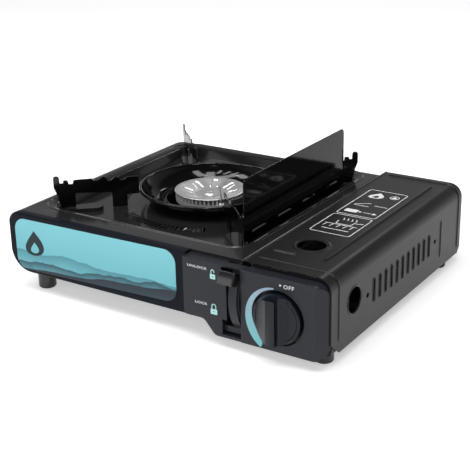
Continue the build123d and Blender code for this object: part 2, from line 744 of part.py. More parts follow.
# ---------------------------------------------------------------------------
# top plate
# ---------------------------------------------------------------------------
def tray_form(inset):
    """The stepped tray as a solid; inset grows it to the sheet's lower side."""
    half_x = TRAY_HALF_X + inset
    half_y = TRAY_HALF_Y + inset
    radius = TRAY_RADIUS + inset
    step_z = PLATE_TOP - STEP_DEPTH - inset
    wide = RectangleRounded(2 * (half_x + STEP_MARGIN), 2 * (half_y + STEP_MARGIN),
                            radius + STEP_MARGIN)
    narrow = RectangleRounded(2 * half_x, 2 * half_y, radius)
    upper = extrude(Pos(0, 0, step_z) * wide, amount=PLATE_TOP - step_z)
    lower = extrude(Pos(0, 0, step_z) * narrow,
                    amount=-(step_z - TRAY_FLOOR + inset), taper=TRAY_DRAFT)
    return Pos(BURNER_X, BURNER_Y) * (upper + lower)


def tray_pad(angle, inset):
    """A raised drop shape in a corner of the tray, under a pan support foot."""
    near = disc(PAD_INNER_R, 0, PAD_INNER_SIZE - inset)
    far = disc(PAD_OUTER_R, 0, PAD_OUTER_SIZE - inset)
    drop = make_hull([*near.edges(), *far.edges()])
    drop = Pos(BURNER_X, BURNER_Y) * Rot(0, 0, angle) * drop
    return along_z(drop, TRAY_FLOOR - SHEET - inset, PAD_TOP - inset)


def blade_angles():
    """The directions of the four pan support blades."""
    return [BLADE_START_ANGLE + index * 360 / BLADE_COUNT for index in range(BLADE_COUNT)]


def make_top_plate():
    low = PLATE_TOP - SKIRT_DEPTH
    plate = dome(0, PLATE_RIGHT, low) - dome(SHEET, PLATE_RIGHT - SHEET, low)
    plate -= block(PLATE_RIGHT - SHEET, PLATE_RIGHT, 0, DEPTH - SHEET,
                   low, PLATE_TOP - RIGHT_FLANGE_DEPTH)
    plate -= block(PLATE_RIGHT - SHEET, PLATE_RIGHT, 0, CASE_FRONT + SHEET + SEAT_GAP,
                   low, PLATE_TOP - SHEET)
    plate += tray_form(SHEET)
    plate -= tray_form(0)
    for angle in blade_angles():
        plate += tray_pad(angle, 0)
    for angle in blade_angles():
        plate -= tray_pad(angle, SHEET)
    collar = disc(BURNER_X, BURNER_Y, COLLAR_RADIUS)
    plate += along_z(collar, TRAY_FLOOR - SHEET, TRAY_FLOOR + COLLAR_HEIGHT)
    plate -= along_z(disc(BURNER_X, BURNER_Y, COLLAR_RADIUS - SHEET), low, PLATE_TOP)
    slot = SlotOverall(AIR_SLOT_LENGTH, AIR_SLOT_WIDTH)
    middle = AIR_SLOT_INNER + AIR_SLOT_LENGTH / 2
    for quarter in blade_angles():
        between = quarter + 180 / BLADE_COUNT
        for angle in spaced(AIR_SLOT_COUNT, AIR_SLOT_PITCH, between):
            x, y = polar(middle, angle)
            plate -= along_z(Pos(x, y) * Rot(0, 0, angle) * slot,
                             TRAY_FLOOR - 2 * SHEET, TRAY_FLOOR + SHEET)
    return plate


# ---------------------------------------------------------------------------
# front panel and label
# ---------------------------------------------------------------------------
def panel_face(inset):
    """Outline of the front panel in (X, Z)."""
    face = pane(inset, PANEL_RIGHT - inset, BURNER_FLOOR + inset, PLATE_TOP - inset)
    face = soften(face, (inset, BURNER_FLOOR + inset), CASE_LEFT_RADIUS - inset)
    return soften(face, (inset, PLATE_TOP - inset), PLATE_EDGE_RADIUS - inset)


def label_face():
    """Outline of the printed label in (X, Z); it climbs a little to the right."""
    corners = [
        (LABEL_LEFT, LABEL_LOW_LEFT), (LABEL_RIGHT, LABEL_LOW_RIGHT),
        (LABEL_RIGHT, LABEL_HIGH_RIGHT), (LABEL_LEFT, LABEL_HIGH_LEFT),
    ]
    face = outline(corners)
    for point in corners:
        face = soften(face, point, LABEL_RADIUS)
    return face


def make_front_panel():
    panel = along_y(panel_face(0), 0, PANEL_THICK)
    front = panel.faces().sort_by(Axis.Y)[0]
    panel = fillet(front.edges(), PANEL_EDGE)
    panel -= along_y(panel_face(MOULD_WALL), MOULD_WALL, PANEL_THICK)
    return panel - along_y(offset(label_face(), amount=RUN_FIT), 0, LABEL_POCKET)


def make_front_label():
    return along_y(label_face(), LABEL_POCKET - LABEL_THICK, LABEL_POCKET)


# ---------------------------------------------------------------------------
# control housing
# ---------------------------------------------------------------------------
def housing_form(inset):
    """The control housing as a solid, moved in by a wall, open to the back."""
    low_left = (HOUSING_LEFT, HOUSING_LABEL_LOW)
    lobe_top = (LOBE_START, HOUSING_LABEL_LOW)
    lobe_low = (LOBE_END, HOUSING_LOW)
    low_right = (HOUSING_RIGHT, HOUSING_LOW)
    high_right = (HOUSING_RIGHT, HOUSING_TOP)
    high_left = (HOUSING_LEFT, HOUSING_TOP)
    face = outline([low_left, lobe_top, lobe_low, low_right, high_right, high_left])
    face = soften(face, low_left, HOUSING_SMALL_CORNER)
    face = soften(face, lobe_top, LOBE_RADIUS)
    face = soften(face, lobe_low, LOBE_RADIUS)
    face = soften(face, low_right, HOUSING_CORNER)
    face = soften(face, high_right, HOUSING_CORNER)
    plate_y = -LABEL_PLATE_PROUD + inset
    plan = outline([
        (HOUSING_LEFT, plate_y), (SLOT_RIGHT, plate_y), (SLOT_RIGHT, FACE_Y + inset),
        (HOUSING_FACE_RIGHT - inset, FACE_Y + inset),
        (HOUSING_RIGHT - inset, HOUSING_SLANT_BACK + inset),
        (HOUSING_RIGHT - inset, PANEL_THICK), (HOUSING_LEFT, PANEL_THICK),
    ])
    if inset > 0:
        face = offset(face, amount=-inset)
    return along_y(face, FACE_Y, PANEL_THICK) & along_z(plan, 0, HOUSING_TOP)


def lever_opening():
    """The space in the housing that the lock lever swings in."""
    face = pane(LEVER_X, SLOT_RIGHT, LEVER_RECESS_LOW, LEVER_SLOT_TOP)
    face += pane(LEVER_STRIP, SLOT_RIGHT, LEVER_SLOT_LOW, LEVER_SLOT_TOP)
    face += pane(LEVER_X, SLOT_RIGHT, LEVER_SLOT_LOW, LEVER_POCKET_TOP)
    return along_y(face, FACE_Y - CUT_MARGIN, PANEL_THICK + CUT_MARGIN)


def lever_ring(inner, outer, half_angle):
    """Part of a ring about the lever's pivot, open to the back, in (Y, Z)."""
    return sector(LEVER_PIVOT_Y, LEVER_PIVOT_Z, inner, outer,
                  180 - half_angle, 180 + half_angle)


def make_control_housing():
    housing = housing_form(0)
    edges = housing.faces().sort_by(Axis.Y)[0].edges()
    housing = fillet(edges, HOUSING_EDGE)
    solid = housing
    housing -= housing_form(MOULD_WALL)
    housing += solid & block(LEVER_X - MOULD_WALL, SLOT_RIGHT + MOULD_WALL,
                             FACE_Y, PANEL_THICK, 0, HOUSING_TOP)
    housing += solid & rod((KNOB_X, FACE_Y, KNOB_Z),
                           (KNOB_X, FACE_Y + RECESS_DEPTH + MOULD_WALL, KNOB_Z),
                           RECESS_RADIUS + MOULD_WALL)
    housing -= lever_opening()
    housing += block(LEVER_X, SLOT_RIGHT, LEVER_BAR_FRONT, LEVER_BAR_BACK,
                     LEVER_BAR_LOW, LEVER_BAR_HIGH)
    rail_left = LEVER_ARM_RIGHT + RAIL_GAP
    rail = lever_ring(RAIL_RADIUS - RAIL_THICK, RAIL_RADIUS, RAIL_HALF_ANGLE)
    housing += along_x(rail, rail_left, SLOT_RIGHT - RAIL_EDGE_GAP)
    web = lever_ring(RAIL_RADIUS - 2 * RAIL_THICK, RAIL_RADIUS - RAIL_THICK, RAIL_HALF_ANGLE)
    housing += along_x(web, rail_left, SLOT_RIGHT + RUN_FIT)
    housing -= rod((KNOB_X, FACE_Y - CUT_MARGIN, KNOB_Z),
                   (KNOB_X, FACE_Y + RECESS_DEPTH, KNOB_Z), RECESS_RADIUS)
    housing -= rod((KNOB_X, FACE_Y, KNOB_Z), (KNOB_X, PANEL_THICK, KNOB_Z), SPINDLE_HOLE)
    housing -= block(LATCH_SLOT_LEFT, LATCH_SLOT_RIGHT, LATCH_SLOT_FRONT,
                     PANEL_THICK + CUT_MARGIN, LEVER_SLOT_TOP - CUT_MARGIN, PLATE_TOP)
    return housing - block(PLATE_RIGHT, HINGE_X, LID_FRONT - REST_GAP, PANEL_THICK + CUT_MARGIN,
                           HINGE_Z - LID_SWING, HOUSING_TOP + CUT_MARGIN)


# ---------------------------------------------------------------------------
# knob, spindle and ignition cam
# ---------------------------------------------------------------------------
def make_knob():
    knob = rod((KNOB_X, KNOB_BACK, KNOB_Z), (KNOB_X, KNOB_FRONT, KNOB_Z), KNOB_RADIUS)
    front = knob.faces().sort_by(Axis.Y)[0]
    knob = fillet(front.edges(), KNOB_EDGE)
    left = (KNOB_X - GRIP_HALF, GRIP_FRONT)
    right = (KNOB_X + GRIP_HALF, GRIP_FRONT)
    right_foot = (KNOB_X + GRIP_FOOT_RIGHT, KNOB_FRONT)
    sag = (KNOB_X + GRIP_HALF + GRIP_SAG, KNOB_FRONT - GRIP_SAG)
    inner = KNOB_FRONT + KNOB_EDGE
    crest = Polyline((right_foot[0], inner), (KNOB_X - GRIP_FOOT_LEFT, inner),
                     (KNOB_X - GRIP_FOOT_LEFT, KNOB_FRONT), left, right)
    flank = ThreePointArc(right, sag, right_foot)
    close = Line(right_foot, (right_foot[0], inner))
    section = make_face([*crest.edges(), flank, close])
    grip = along_z(section, KNOB_Z - KNOB_RADIUS, KNOB_Z + KNOB_RADIUS)
    grip &= cone((KNOB_X, inner, KNOB_Z), (KNOB_X, GRIP_FRONT - CUT_MARGIN, KNOB_Z),
                 KNOB_RADIUS, KNOB_RADIUS - GRIP_END_TAPER)
    knob += grip
    hollow = rod((KNOB_X, KNOB_BACK, KNOB_Z), (KNOB_X, KNOB_FRONT + MOULD_WALL, KNOB_Z),
                 KNOB_RADIUS - MOULD_WALL)
    hollow -= rod((KNOB_X, KNOB_BACK, KNOB_Z), (KNOB_X, KNOB_FRONT, KNOB_Z), HUB_RADIUS)
    knob -= hollow
    return knob - d_bar(KNOB_BACK - SPINDLE_INTO_KNOB - SEAT_GAP, KNOB_BACK, RUN_FIT)


def make_valve_spindle():
    spindle = rod((KNOB_X, CAM_FRONT + CAM_THICK, KNOB_Z),
                  (KNOB_X, VALVE_FRONT + SPINDLE_INTO_VALVE, KNOB_Z), SPINDLE_RADIUS)
    return spindle + d_bar(KNOB_BACK - SPINDLE_INTO_KNOB, CAM_FRONT + CAM_THICK)


def make_ignition_cam():
    """A plate cam whose edge climbs evenly as far as the knob turns."""
    points = []
    for index in range(int(360 / CAM_STEP)):
        turn = index * CAM_STEP
        up = turn / KNOB_TURN
        down = (360 - turn) / (360 - KNOB_TURN)
        radius = CAM_RADIUS + CAM_RISE * min(up, down)
        points.append(polar(radius, IGNITER_ANGLE - turn, KNOB_X, KNOB_Z))
    plate = make_face(Spline(*points, periodic=True))
    cam = along_y(plate, CAM_FRONT, CAM_FRONT + CAM_THICK)
    return cam - d_bar(CAM_FRONT, CAM_FRONT + CAM_THICK, RUN_FIT)


# ---------------------------------------------------------------------------
# lock lever
# ---------------------------------------------------------------------------
def make_lock_lever():
    y, z = LEVER_PIVOT_Y, LEVER_PIVOT_Z
    half = LEVER_ARM_HEIGHT / 2
    pad_inner = LEVER_REACH - LEVER_PAD_DEPTH
    arm = pane(y - pad_inner - CUT_MARGIN, y, z - half, z + half)
    arm += disc(y, z, LEVER_HUB_RADIUS)
    arm += pane(y - half, y + half, z, z + STUD_OFFSET)
    arm += disc(y, z + STUD_OFFSET, half - STUD_RADIUS / 2)
    lever = along_x(arm, LEVER_ARM_LEFT, LEVER_ARM_RIGHT)
    pad = along_x(lever_ring(pad_inner, LEVER_REACH, LEVER_PAD_HALF_ANGLE),
                  LEVER_PAD_LEFT, LEVER_PAD_RIGHT)
    outer = pad.faces().sort_by(Axis.Y)[0]
    lever += fillet(outer.edges(), LEVER_PAD_EDGE)
    lever += rod((LEVER_ARM_LEFT, y, z + STUD_OFFSET),
                 (PUSHER_X + FORK_WIDTH / 2 + RUN_FIT, y, z + STUD_OFFSET), STUD_RADIUS)
    lever -= rod((LEVER_ARM_LEFT, y, z), (LEVER_ARM_RIGHT, y, z), LEVER_PIN_RADIUS + RUN_FIT)
    return Pos(0, y, z) * Rot(-LEVER_REST, 0, 0) * Pos(0, -y, -z) * lever


def cheek_places():
    """Left side of each cheek of the lever's bracket."""
    left = LEVER_ARM_LEFT - RAIL_GAP - BRACKET_SHEET
    return left, LEVER_ARM_RIGHT + RAIL_GAP


def make_lever_pin():
    y, z = LEVER_PIVOT_Y, LEVER_PIVOT_Z
    left, right = cheek_places()
    pin = rod((left - BRACKET_SHEET, y, z), (right + BRACKET_SHEET, y, z), LEVER_PIN_RADIUS)
    return pin + rod((left - BRACKET_SHEET, y, z), (left - RUN_FIT, y, z), LEVER_PIN_HEAD)


def make_lever_bracket():
    y, z = LEVER_PIVOT_Y, LEVER_PIVOT_Z
    low = BAY_INSIDE + SEAT_GAP
    half = BRACKET_FOOT / 2
    cheek = outline([(y - half, low), (y + half, low),
                     (y + LEVER_HUB_RADIUS, z), (y - LEVER_HUB_RADIUS, z)])
    cheek += disc(y, z, LEVER_HUB_RADIUS)
    cheek -= disc(y, z, LEVER_PIN_RADIUS + RUN_FIT)
    left, right = cheek_places()
    bracket = block(left, right + BRACKET_SHEET, y - half, y + half, low, low + BRACKET_SHEET)
    for x in (left, right):
        bracket += along_x(cheek, x, x + BRACKET_SHEET)
    return bracket


# ---------------------------------------------------------------------------
# cartridge pusher
# ---------------------------------------------------------------------------
def make_pusher_rod():
    """The rod with the fork that the lever's stud moves."""
    y, z = STUD_REST_Y, STUD_MEAN_Z
    gap = STUD_RADIUS + STUD_PLAY
    half = gap + FORK_WALL
    face = pane(y - half, y + half, z - FORK_HEIGHT / 2, z + FORK_HEIGHT / 2)
    face -= pane(y - gap, y + gap, z - FORK_HEIGHT / 2 + FORK_WALL,
                 z + FORK_HEIGHT / 2 - FORK_WALL)
    fork = along_x(face, PUSHER_X - FORK_WIDTH / 2, PUSHER_X + FORK_WIDTH / 2)
    return fork + rod((PUSHER_X, y + gap, z), (PUSHER_X, PUSHER_ROD_END, z), PUSHER_ROD_RADIUS)


def make_pusher_plate():
    z = STUD_MEAN_Z
    half = PUSHER_ARM_HEIGHT / 2
    face = disc(KNOB_X, CARTRIDGE_Z, PUSHER_PLATE_RADIUS)
    face += pane(PUSHER_X - GUIDE_HALF_WIDTH, KNOB_X, z - half, z + half)
    face -= disc(PUSHER_X, z, PUSHER_ROD_RADIUS + RUN_FIT)
    return along_y(face, PUSHER_PLATE_Y, PUSHER_PLATE_Y + PUSHER_PLATE_THICK)


def make_pusher_guides():
    z = STUD_MEAN_Z
    face = pane(PUSHER_X - GUIDE_HALF_WIDTH, PUSHER_X + GUIDE_HALF_WIDTH,
                BAY_INSIDE + SEAT_GAP, z + GUIDE_OVER_ROD)
    face -= disc(PUSHER_X, z, PUSHER_ROD_RADIUS + RUN_FIT)
    return several([along_y(face, y, y + GUIDE_THICK) for y in (GUIDE_FRONT_Y, GUIDE_REAR_Y)])


# ---------------------------------------------------------------------------
# cartridge bay
# ---------------------------------------------------------------------------
def make_cradle_rails():
    rails = []
    low = BAY_INSIDE + SEAT_GAP
    for side in (-1, 1):
        inner = KNOB_X + side * CRADLE_INNER
        outer = KNOB_X + side * CRADLE_OUTER
        face = pane(min(inner, outer), max(inner, outer), low, CRADLE_TOP)
        face -= disc(KNOB_X, CARTRIDGE_Z, CARTRIDGE_RADIUS + CRADLE_CLEAR)
        rails.append(along_y(face, CRADLE_FRONT, CRADLE_REAR))
    return several(rails)


def make_bulkhead():
    left = KNOB_X - BULKHEAD_HALF_WIDTH
    right = KNOB_X + BULKHEAD_HALF_WIDTH
    low = BAY_INSIDE + SEAT_GAP
    back = BULKHEAD_Y + BULKHEAD_SHEET
    face = pane(left, right, low, BULKHEAD_TOP)
    face = soften(face, (left, BULKHEAD_TOP), BULKHEAD_CORNER)
    face = soften(face, (right, BULKHEAD_TOP), BULKHEAD_CORNER)
    face -= disc(KNOB_X, CARTRIDGE_Z, NOZZLE_RADIUS + SEAT_GAP)
    plate = along_y(face, BULKHEAD_Y, back)
    plate += block(left, right, BULKHEAD_Y, back + BULKHEAD_FOOT, low, low + BULKHEAD_SHEET)
    for x, y, floor in screw_places()[2:]:
        plate -= along_z(disc(x, y, SCREW_RADIUS + RUN_FIT), floor, low + 2 * BULKHEAD_SHEET)
    return plate


def make_heat_shield():
    """The wall between the burner and the cartridge."""
    back = CASE_BACK - SHEET - REST_GAP
    top = CASE_TOP - SEAT_GAP
    face = pane(PARTITION_FRONT, back, BAY_INSIDE + SEAT_GAP, top)
    face = soften(face, (back, top), PARTITION_CORNER)
    middle = (PARTITION_FRONT + back) / 2
    for y in spaced(PARTITION_SLOTS, PARTITION_SLOT_PITCH, middle):
        face -= Pos(y, CRADLE_TOP) * SlotOverall(VENT_LENGTH, VENT_WIDTH)
    return along_x(face, PARTITION_X, PARTITION_X + SHEET)


# ---------------------------------------------------------------------------
# valve and cartridge socket
# ---------------------------------------------------------------------------
def cover_screw_places():
    """Positions of the screws of the diaphragm cover."""
    return [polar(COVER_SCREW_CIRCLE, index * 360 / COVER_SCREW_COUNT + 90, KNOB_X, CHAMBER_Y)
            for index in range(COVER_SCREW_COUNT)]


def make_valve_body():
    z = CARTRIDGE_Z
    body = rod((KNOB_X, VALVE_FRONT, z), (KNOB_X, BULKHEAD_Y - SEAT_GAP, z), VALVE_RADIUS)
    body += rod((KNOB_X, BOSS_FRONT, KNOB_Z), (KNOB_X, VALVE_FRONT + CUT_MARGIN, KNOB_Z),
                BOSS_RADIUS)
    body += along_z(disc(KNOB_X, CHAMBER_Y, CHAMBER_RADIUS), z, CHAMBER_TOP)
    port_end = KNOB_X - VALVE_RADIUS - PORT_LENGTH
    body += rod((KNOB_X, PORT_Y, MIXER_Z), (port_end, PORT_Y, MIXER_Z), PORT_RADIUS)
    body += rod((KNOB_X, VALVE_FRONT, z), (KNOB_X, NOZZLE_STEP_Y, z), NOZZLE_RADIUS)
    body += rod((KNOB_X, VALVE_FRONT, z), (KNOB_X, NOZZLE_TIP_Y, z), NOZZLE_TIP_RADIUS)
    body -= rod((KNOB_X, BOSS_FRONT, KNOB_Z),
                (KNOB_X, VALVE_FRONT + SPINDLE_INTO_VALVE + SEAT_GAP, KNOB_Z),
                SPINDLE_RADIUS + RUN_FIT)
    body -= rod((port_end, PORT_Y, MIXER_Z), (port_end + PORT_DEPTH, PORT_Y, MIXER_Z),
                PIPE_RADIUS + RUN_FIT)
    for x, y in cover_screw_places():
        body -= along_z(disc(x, y, COVER_SCREW_RADIUS + RUN_FIT),
                        CHAMBER_TOP - COVER_SCREW_DEPTH, CHAMBER_TOP)
    return body


def make_diaphragm_cover():
    low = CHAMBER_TOP + SEAT_GAP
    top = low + COVER_THICK
    cover = along_z(disc(KNOB_X, CHAMBER_Y, CHAMBER_RADIUS), low, top)
    cover += along_z(disc(KNOB_X, CHAMBER_Y, COVER_DOME_RADIUS), low, top + COVER_DOME)
    crown = cover.faces().sort_by(Axis.Z)[-1]
    cover = fillet(crown.edges(), COVER_DOME / 2)
    for x, y in cover_screw_places():
        cover -= along_z(disc(x, y, COVER_SCREW_RADIUS + RUN_FIT), low, top)
    return cover


def make_cover_screws():
    top = CHAMBER_TOP + SEAT_GAP + COVER_THICK + SEAT_GAP
    screws = []
    for x, y in cover_screw_places():
        shank = along_z(disc(x, y, COVER_SCREW_RADIUS),
                        CHAMBER_TOP - COVER_SCREW_DEPTH + SEAT_GAP, top)
        head = along_z(disc(x, y, COVER_SCREW_HEAD), top, top + COVER_SCREW_HEAD_HEIGHT)
        screws.append(shank + head)
    return several(screws)


def make_cartridge_socket():
    front = BULKHEAD_Y + BULKHEAD_SHEET + SEAT_GAP
    face = disc(KNOB_X, CARTRIDGE_Z, SOCKET_RADIUS) - disc(KNOB_X, CARTRIDGE_Z, SOCKET_BORE)
    half = SOCKET_NOTCH / 2
    face -= pane(KNOB_X - half, KNOB_X + half, CARTRIDGE_Z, CARTRIDGE_Z + 2 * SOCKET_RADIUS)
    return along_y(face, front, front + SOCKET_LENGTH)


def make_socket_seal():
    front = NOZZLE_STEP_Y + SEAT_GAP
    face = disc(KNOB_X, CARTRIDGE_Z, SEAL_RADIUS)
    face -= disc(KNOB_X, CARTRIDGE_Z, NOZZLE_TIP_RADIUS + RUN_FIT)
    return along_y(face, front, front + SEAL_THICK)


# ---------------------------------------------------------------------------
# gas pipe, jet and mixing tube
# ---------------------------------------------------------------------------
def make_gas_pipe():
    back = (JET_Y - PORT_Y) / MIXER_SIN
    port_end = KNOB_X - VALVE_RADIUS - PORT_LENGTH
    start = (port_end + PORT_DEPTH - SEAT_GAP, PORT_Y, MIXER_Z)
    corner = mixer_point(-back)
    end = mixer_point(JET_BORE_DEPTH - SEAT_GAP)
    path = FilletPolyline(start, corner, end, radius=PIPE_BEND)
    return sweep(Plane(origin=start, z_dir=(-1, 0, 0)) * Circle(PIPE_RADIUS), path=path)


def make_jet_nozzle():
    jet = rod(mixer_point(0), mixer_point(JET_LENGTH), JET_RADIUS)
    tip = JET_LENGTH + JET_NOSE_LENGTH
    jet += cone(mixer_point(JET_LENGTH), mixer_point(tip), JET_RADIUS, JET_NOSE_RADIUS)
    jet -= rod(mixer_point(0), mixer_point(JET_BORE_DEPTH), PIPE_RADIUS + RUN_FIT)
    return jet - rod(mixer_point(JET_BORE_DEPTH), mixer_point(tip), JET_ORIFICE)


def make_mixing_tube():
    """The venturi tube, with the collar and ribs that hold the jet before it."""
    frame = Plane(origin=mixer_point(0), x_dir=(MIXER_COS, MIXER_SIN, 0),
                  z_dir=(MIXER_SIN, -MIXER_COS, 0))
    axis = Axis(mixer_point(0), (MIXER_COS, MIXER_SIN, 0))
    narrow = MIXER_START + MIXER_MOUTH_LENGTH
    widen = narrow + MIXER_THROAT_LENGTH
    outer = [(MIXER_START, MIXER_MOUTH), (narrow, MIXER_THROAT),
             (widen, MIXER_THROAT), (MIXER_STOP, MIXER_END)]
    inner = [(x, radius - MIXER_WALL) for x, radius in reversed(outer)]
    tube = revolve(frame * outline(outer + inner), axis)
    collar_end = MIXER_COLLAR_START + MIXER_COLLAR_LENGTH
    collar_outer = JET_RADIUS + MIXER_COLLAR
    collar = outline([(MIXER_COLLAR_START, JET_RADIUS + RUN_FIT),
                      (collar_end, JET_RADIUS + RUN_FIT),
                      (collar_end, collar_outer), (MIXER_COLLAR_START, collar_outer)])
    tube += revolve(frame * collar, axis)
    edge = MIXER_MOUTH - MIXER_WALL / 2
    for side in (-1, 1):
        rib = pane(MIXER_COLLAR_START, MIXER_START + CUT_MARGIN,
                   min(side * edge, side * (JET_RADIUS + CUT_MARGIN)),
                   max(side * edge, side * (JET_RADIUS + CUT_MARGIN)))
        tube += extrude(frame.offset(-MIXER_RIB / 2) * rib, amount=MIXER_RIB)
    return tube


def make_mixer_saddle():
    """A block on the case floor that carries the middle of the mixing tube."""
    frame = Plane(origin=mixer_point(SADDLE_POSITION, BURNER_INSIDE + SEAT_GAP),
                  x_dir=(MIXER_COS, MIXER_SIN, 0), z_dir=(0, 0, 1))
    height = MIXER_Z - BURNER_INSIDE - SEAT_GAP
    post = extrude(frame * Rectangle(SADDLE_LENGTH, 2 * SADDLE_HALF_WIDTH), amount=height)
    narrow = MIXER_START + MIXER_MOUTH_LENGTH + MIXER_THROAT_LENGTH
    seat = cone(mixer_point(narrow), mixer_point(MIXER_STOP),
                MIXER_THROAT + SEAT_GAP, MIXER_END + SEAT_GAP)
    return post - seat


# ---------------------------------------------------------------------------
# burner
# ---------------------------------------------------------------------------
def make_burner_cup():
    flange_low = CUP_TOP - CUP_FLANGE
    cup = turned([(0, CUP_LOW), (CUP_FOOT_RADIUS, CUP_LOW), (CUP_RADIUS, CUP_WAIST),
                  (CUP_RADIUS, flange_low), (HEAD_RADIUS, flange_low),
                  (HEAD_RADIUS, CUP_TOP), (0, CUP_TOP)])
    boss_radius = MIXER_END + RUN_FIT + CUP_BOSS_WALL
    cup += rod(mixer_point(MIXER_LENGTH), mixer_point(MIXER_LENGTH - CUP_BOSS_OUT), boss_radius)
    inner_foot = CUP_LOW + CUP_WALL
    cup -= turned([(0, inner_foot), (CUP_FOOT_RADIUS - CUP_WALL, inner_foot),
                   (CUP_RADIUS - CUP_WALL, CUP_WAIST), (CUP_RADIUS - CUP_WALL, CUP_TOP),
                   (0, CUP_TOP)])
    return cup - rod(mixer_point(MIXER_LENGTH), mixer_point(MIXER_LENGTH - CUP_BOSS_OUT),
                     MIXER_END + RUN_FIT)


def make_burner_bracket():
    low = BURNER_INSIDE + SEAT_GAP
    top = CUP_LOW - SEAT_GAP
    reach = CUP_BRACKET_TOP + CUP_BRACKET_FOOT
    left_foot = pane(-reach, -CUP_BRACKET_TOP, low, low + BRACKET_SHEET)
    right_foot = pane(CUP_BRACKET_TOP, reach, low, low + BRACKET_SHEET)
    hat = pane(-CUP_BRACKET_TOP - BRACKET_SHEET, CUP_BRACKET_TOP + BRACKET_SHEET, low, top)
    hat -= pane(-CUP_BRACKET_TOP, CUP_BRACKET_TOP, low, top - BRACKET_SHEET)
    face = Pos(BURNER_X, 0) * (left_foot + right_foot + hat)
    strip = along_y(face, BURNER_Y - CUP_BRACKET_HALF_WIDTH, BURNER_Y + CUP_BRACKET_HALF_WIDTH)
    for x, y, floor in screw_places()[:2]:
        strip -= along_z(disc(x, y, SCREW_RADIUS + RUN_FIT), floor, low + 2 * BRACKET_SHEET)
    return strip


def make_burner_head():
    """The slotted ring that the flames leave through."""
    inner = HEAD_RADIUS - HEAD_WALL
    floor = HEAD_LOW + HEAD_FLOOR
    head = turned([(HEAD_BORE, HEAD_LOW), (HEAD_RADIUS, HEAD_LOW), (HEAD_RADIUS, HEAD_TOP),
                   (inner, HEAD_TOP), (inner, floor), (HEAD_BORE, floor)])
    for index in range(HEAD_SLOTS):
        angle = index * 360 / HEAD_SLOTS
        slot = Pos(HEAD_RADIUS, 0, HEAD_TOP - HEAD_SLOT_HEIGHT / 2) * Box(
            4 * HEAD_WALL, HEAD_SLOT_WIDTH, HEAD_SLOT_HEIGHT)
        head -= Pos(BURNER_X, BURNER_Y) * Rot(0, 0, angle) * slot
    return head


def cap_surface(lift):
    """Half profile of the cap's dished upper side, from the middle outwards."""
    well = CAP_TOP - CAP_DISH + lift
    rim = CAP_TOP + lift
    return [(0, well), (CAP_WELL_RADIUS, well), (CAP_RADIUS - CAP_RIM_WIDTH, rim),
            (CAP_RADIUS, rim)]


def make_burner_cap():
    low = cap_surface(-CAP_SHEET)
    cap = turned(low + list(reversed(cap_surface(0))))
    cap += turned([(0, CAP_TOP - CAP_DISH - CAP_SHEET), (CAP_BUTTON_RADIUS, CAP_TOP - CAP_DISH),
                   (CAP_BUTTON_RADIUS, CAP_TOP - CAP_DISH + CAP_BUTTON_HEIGHT),
                   (0, CAP_TOP - CAP_DISH + CAP_BUTTON_HEIGHT)])
    raised = turned(low + list(reversed(cap_surface(ARCH_PROUD))))
    arch = SlotOverall(ARCH_LENGTH, ARCH_WIDTH)
    for index in range(CAP_ARCHES):
        angle = (index + 1 / 2) * 360 / CAP_ARCHES
        x, y = polar(ARCH_CIRCLE, angle)
        shape = Pos(x, y) * Rot(0, 0, angle) * arch
        cap += raised & along_z(shape, CAP_TOP - 2 * CAP_DISH, CAP_TOP)
    return cap


# ---------------------------------------------------------------------------
# ignition
# ---------------------------------------------------------------------------
def make_electrode_ceramic():
    x, y = polar(ELECTRODE_R, ELECTRODE_ANGLE)
    ring = disc(x, y, CERAMIC_RADIUS) - disc(x, y, SPIKE_RADIUS + RUN_FIT)
    return along_z(ring, CERAMIC_LOW, CERAMIC_TOP)


def tail_point(distance):
    """A point to the side of the electrode, below its ceramic."""
    x, y = polar(ELECTRODE_R, ELECTRODE_ANGLE)
    return x - MIXER_SIN * distance, y + MIXER_COS * distance, TAIL_Z


def make_electrode_pin():
    x, y = polar(ELECTRODE_R, ELECTRODE_ANGLE)
    tip_x, tip_y = polar(SPIKE_TIP_R, ELECTRODE_ANGLE)
    pin = along_z(disc(x, y, SPIKE_RADIUS), TAIL_Z, SPIKE_BASE_Z)
    pin += Pos(x, y, SPIKE_BASE_Z) * Sphere(SPIKE_RADIUS)
    pin += cone((x, y, SPIKE_BASE_Z), (tip_x, tip_y, SPIKE_TIP_Z), SPIKE_RADIUS, SPIKE_TIP_RADIUS)
    pin += Pos(x, y, TAIL_Z) * Sphere(SPIKE_RADIUS)
    return pin + rod((x, y, TAIL_Z), tail_point(TAIL_LENGTH), SPIKE_RADIUS)


def make_electrode_bracket():
    """A shelf fixed to the burner cup, with a guard beside the electrode."""
    inner = CUP_RADIUS + SEAT_GAP
    shelf = sector(BURNER_X, BURNER_Y, inner, SHELF_OUTER, SHELF_START, GUARD_START)
    shelf += sector(BURNER_X, BURNER_Y, inner, GUARD_R + SHEET, SHELF_START, GUARD_END)
    x, y = polar(ELECTRODE_R, ELECTRODE_ANGLE)
    shelf -= disc(x, y, CERAMIC_RADIUS + RUN_FIT)
    bracket = along_z(shelf, SHELF_Z, SHELF_Z + SHEET)
    wall = sector(BURNER_X, BURNER_Y, GUARD_R, GUARD_R + SHEET, GUARD_START, GUARD_END)
    return bracket + along_z(wall, SHELF_Z, GUARD_TOP)


def make_piezo_igniter():
    near = spindle_point(IGNITER_NEAR, IGNITER_ANGLE, IGNITER_Y)
    far = spindle_point(IGNITER_FAR, IGNITER_ANGLE, IGNITER_Y)
    floor = spindle_point(IGNITER_NEAR + PLUNGER_DEPTH + CAM_RISE + SEAT_GAP,
                          IGNITER_ANGLE, IGNITER_Y)
    return rod(near, far, IGNITER_RADIUS) - rod(near, floor, PLUNGER_RADIUS + RUN_FIT)


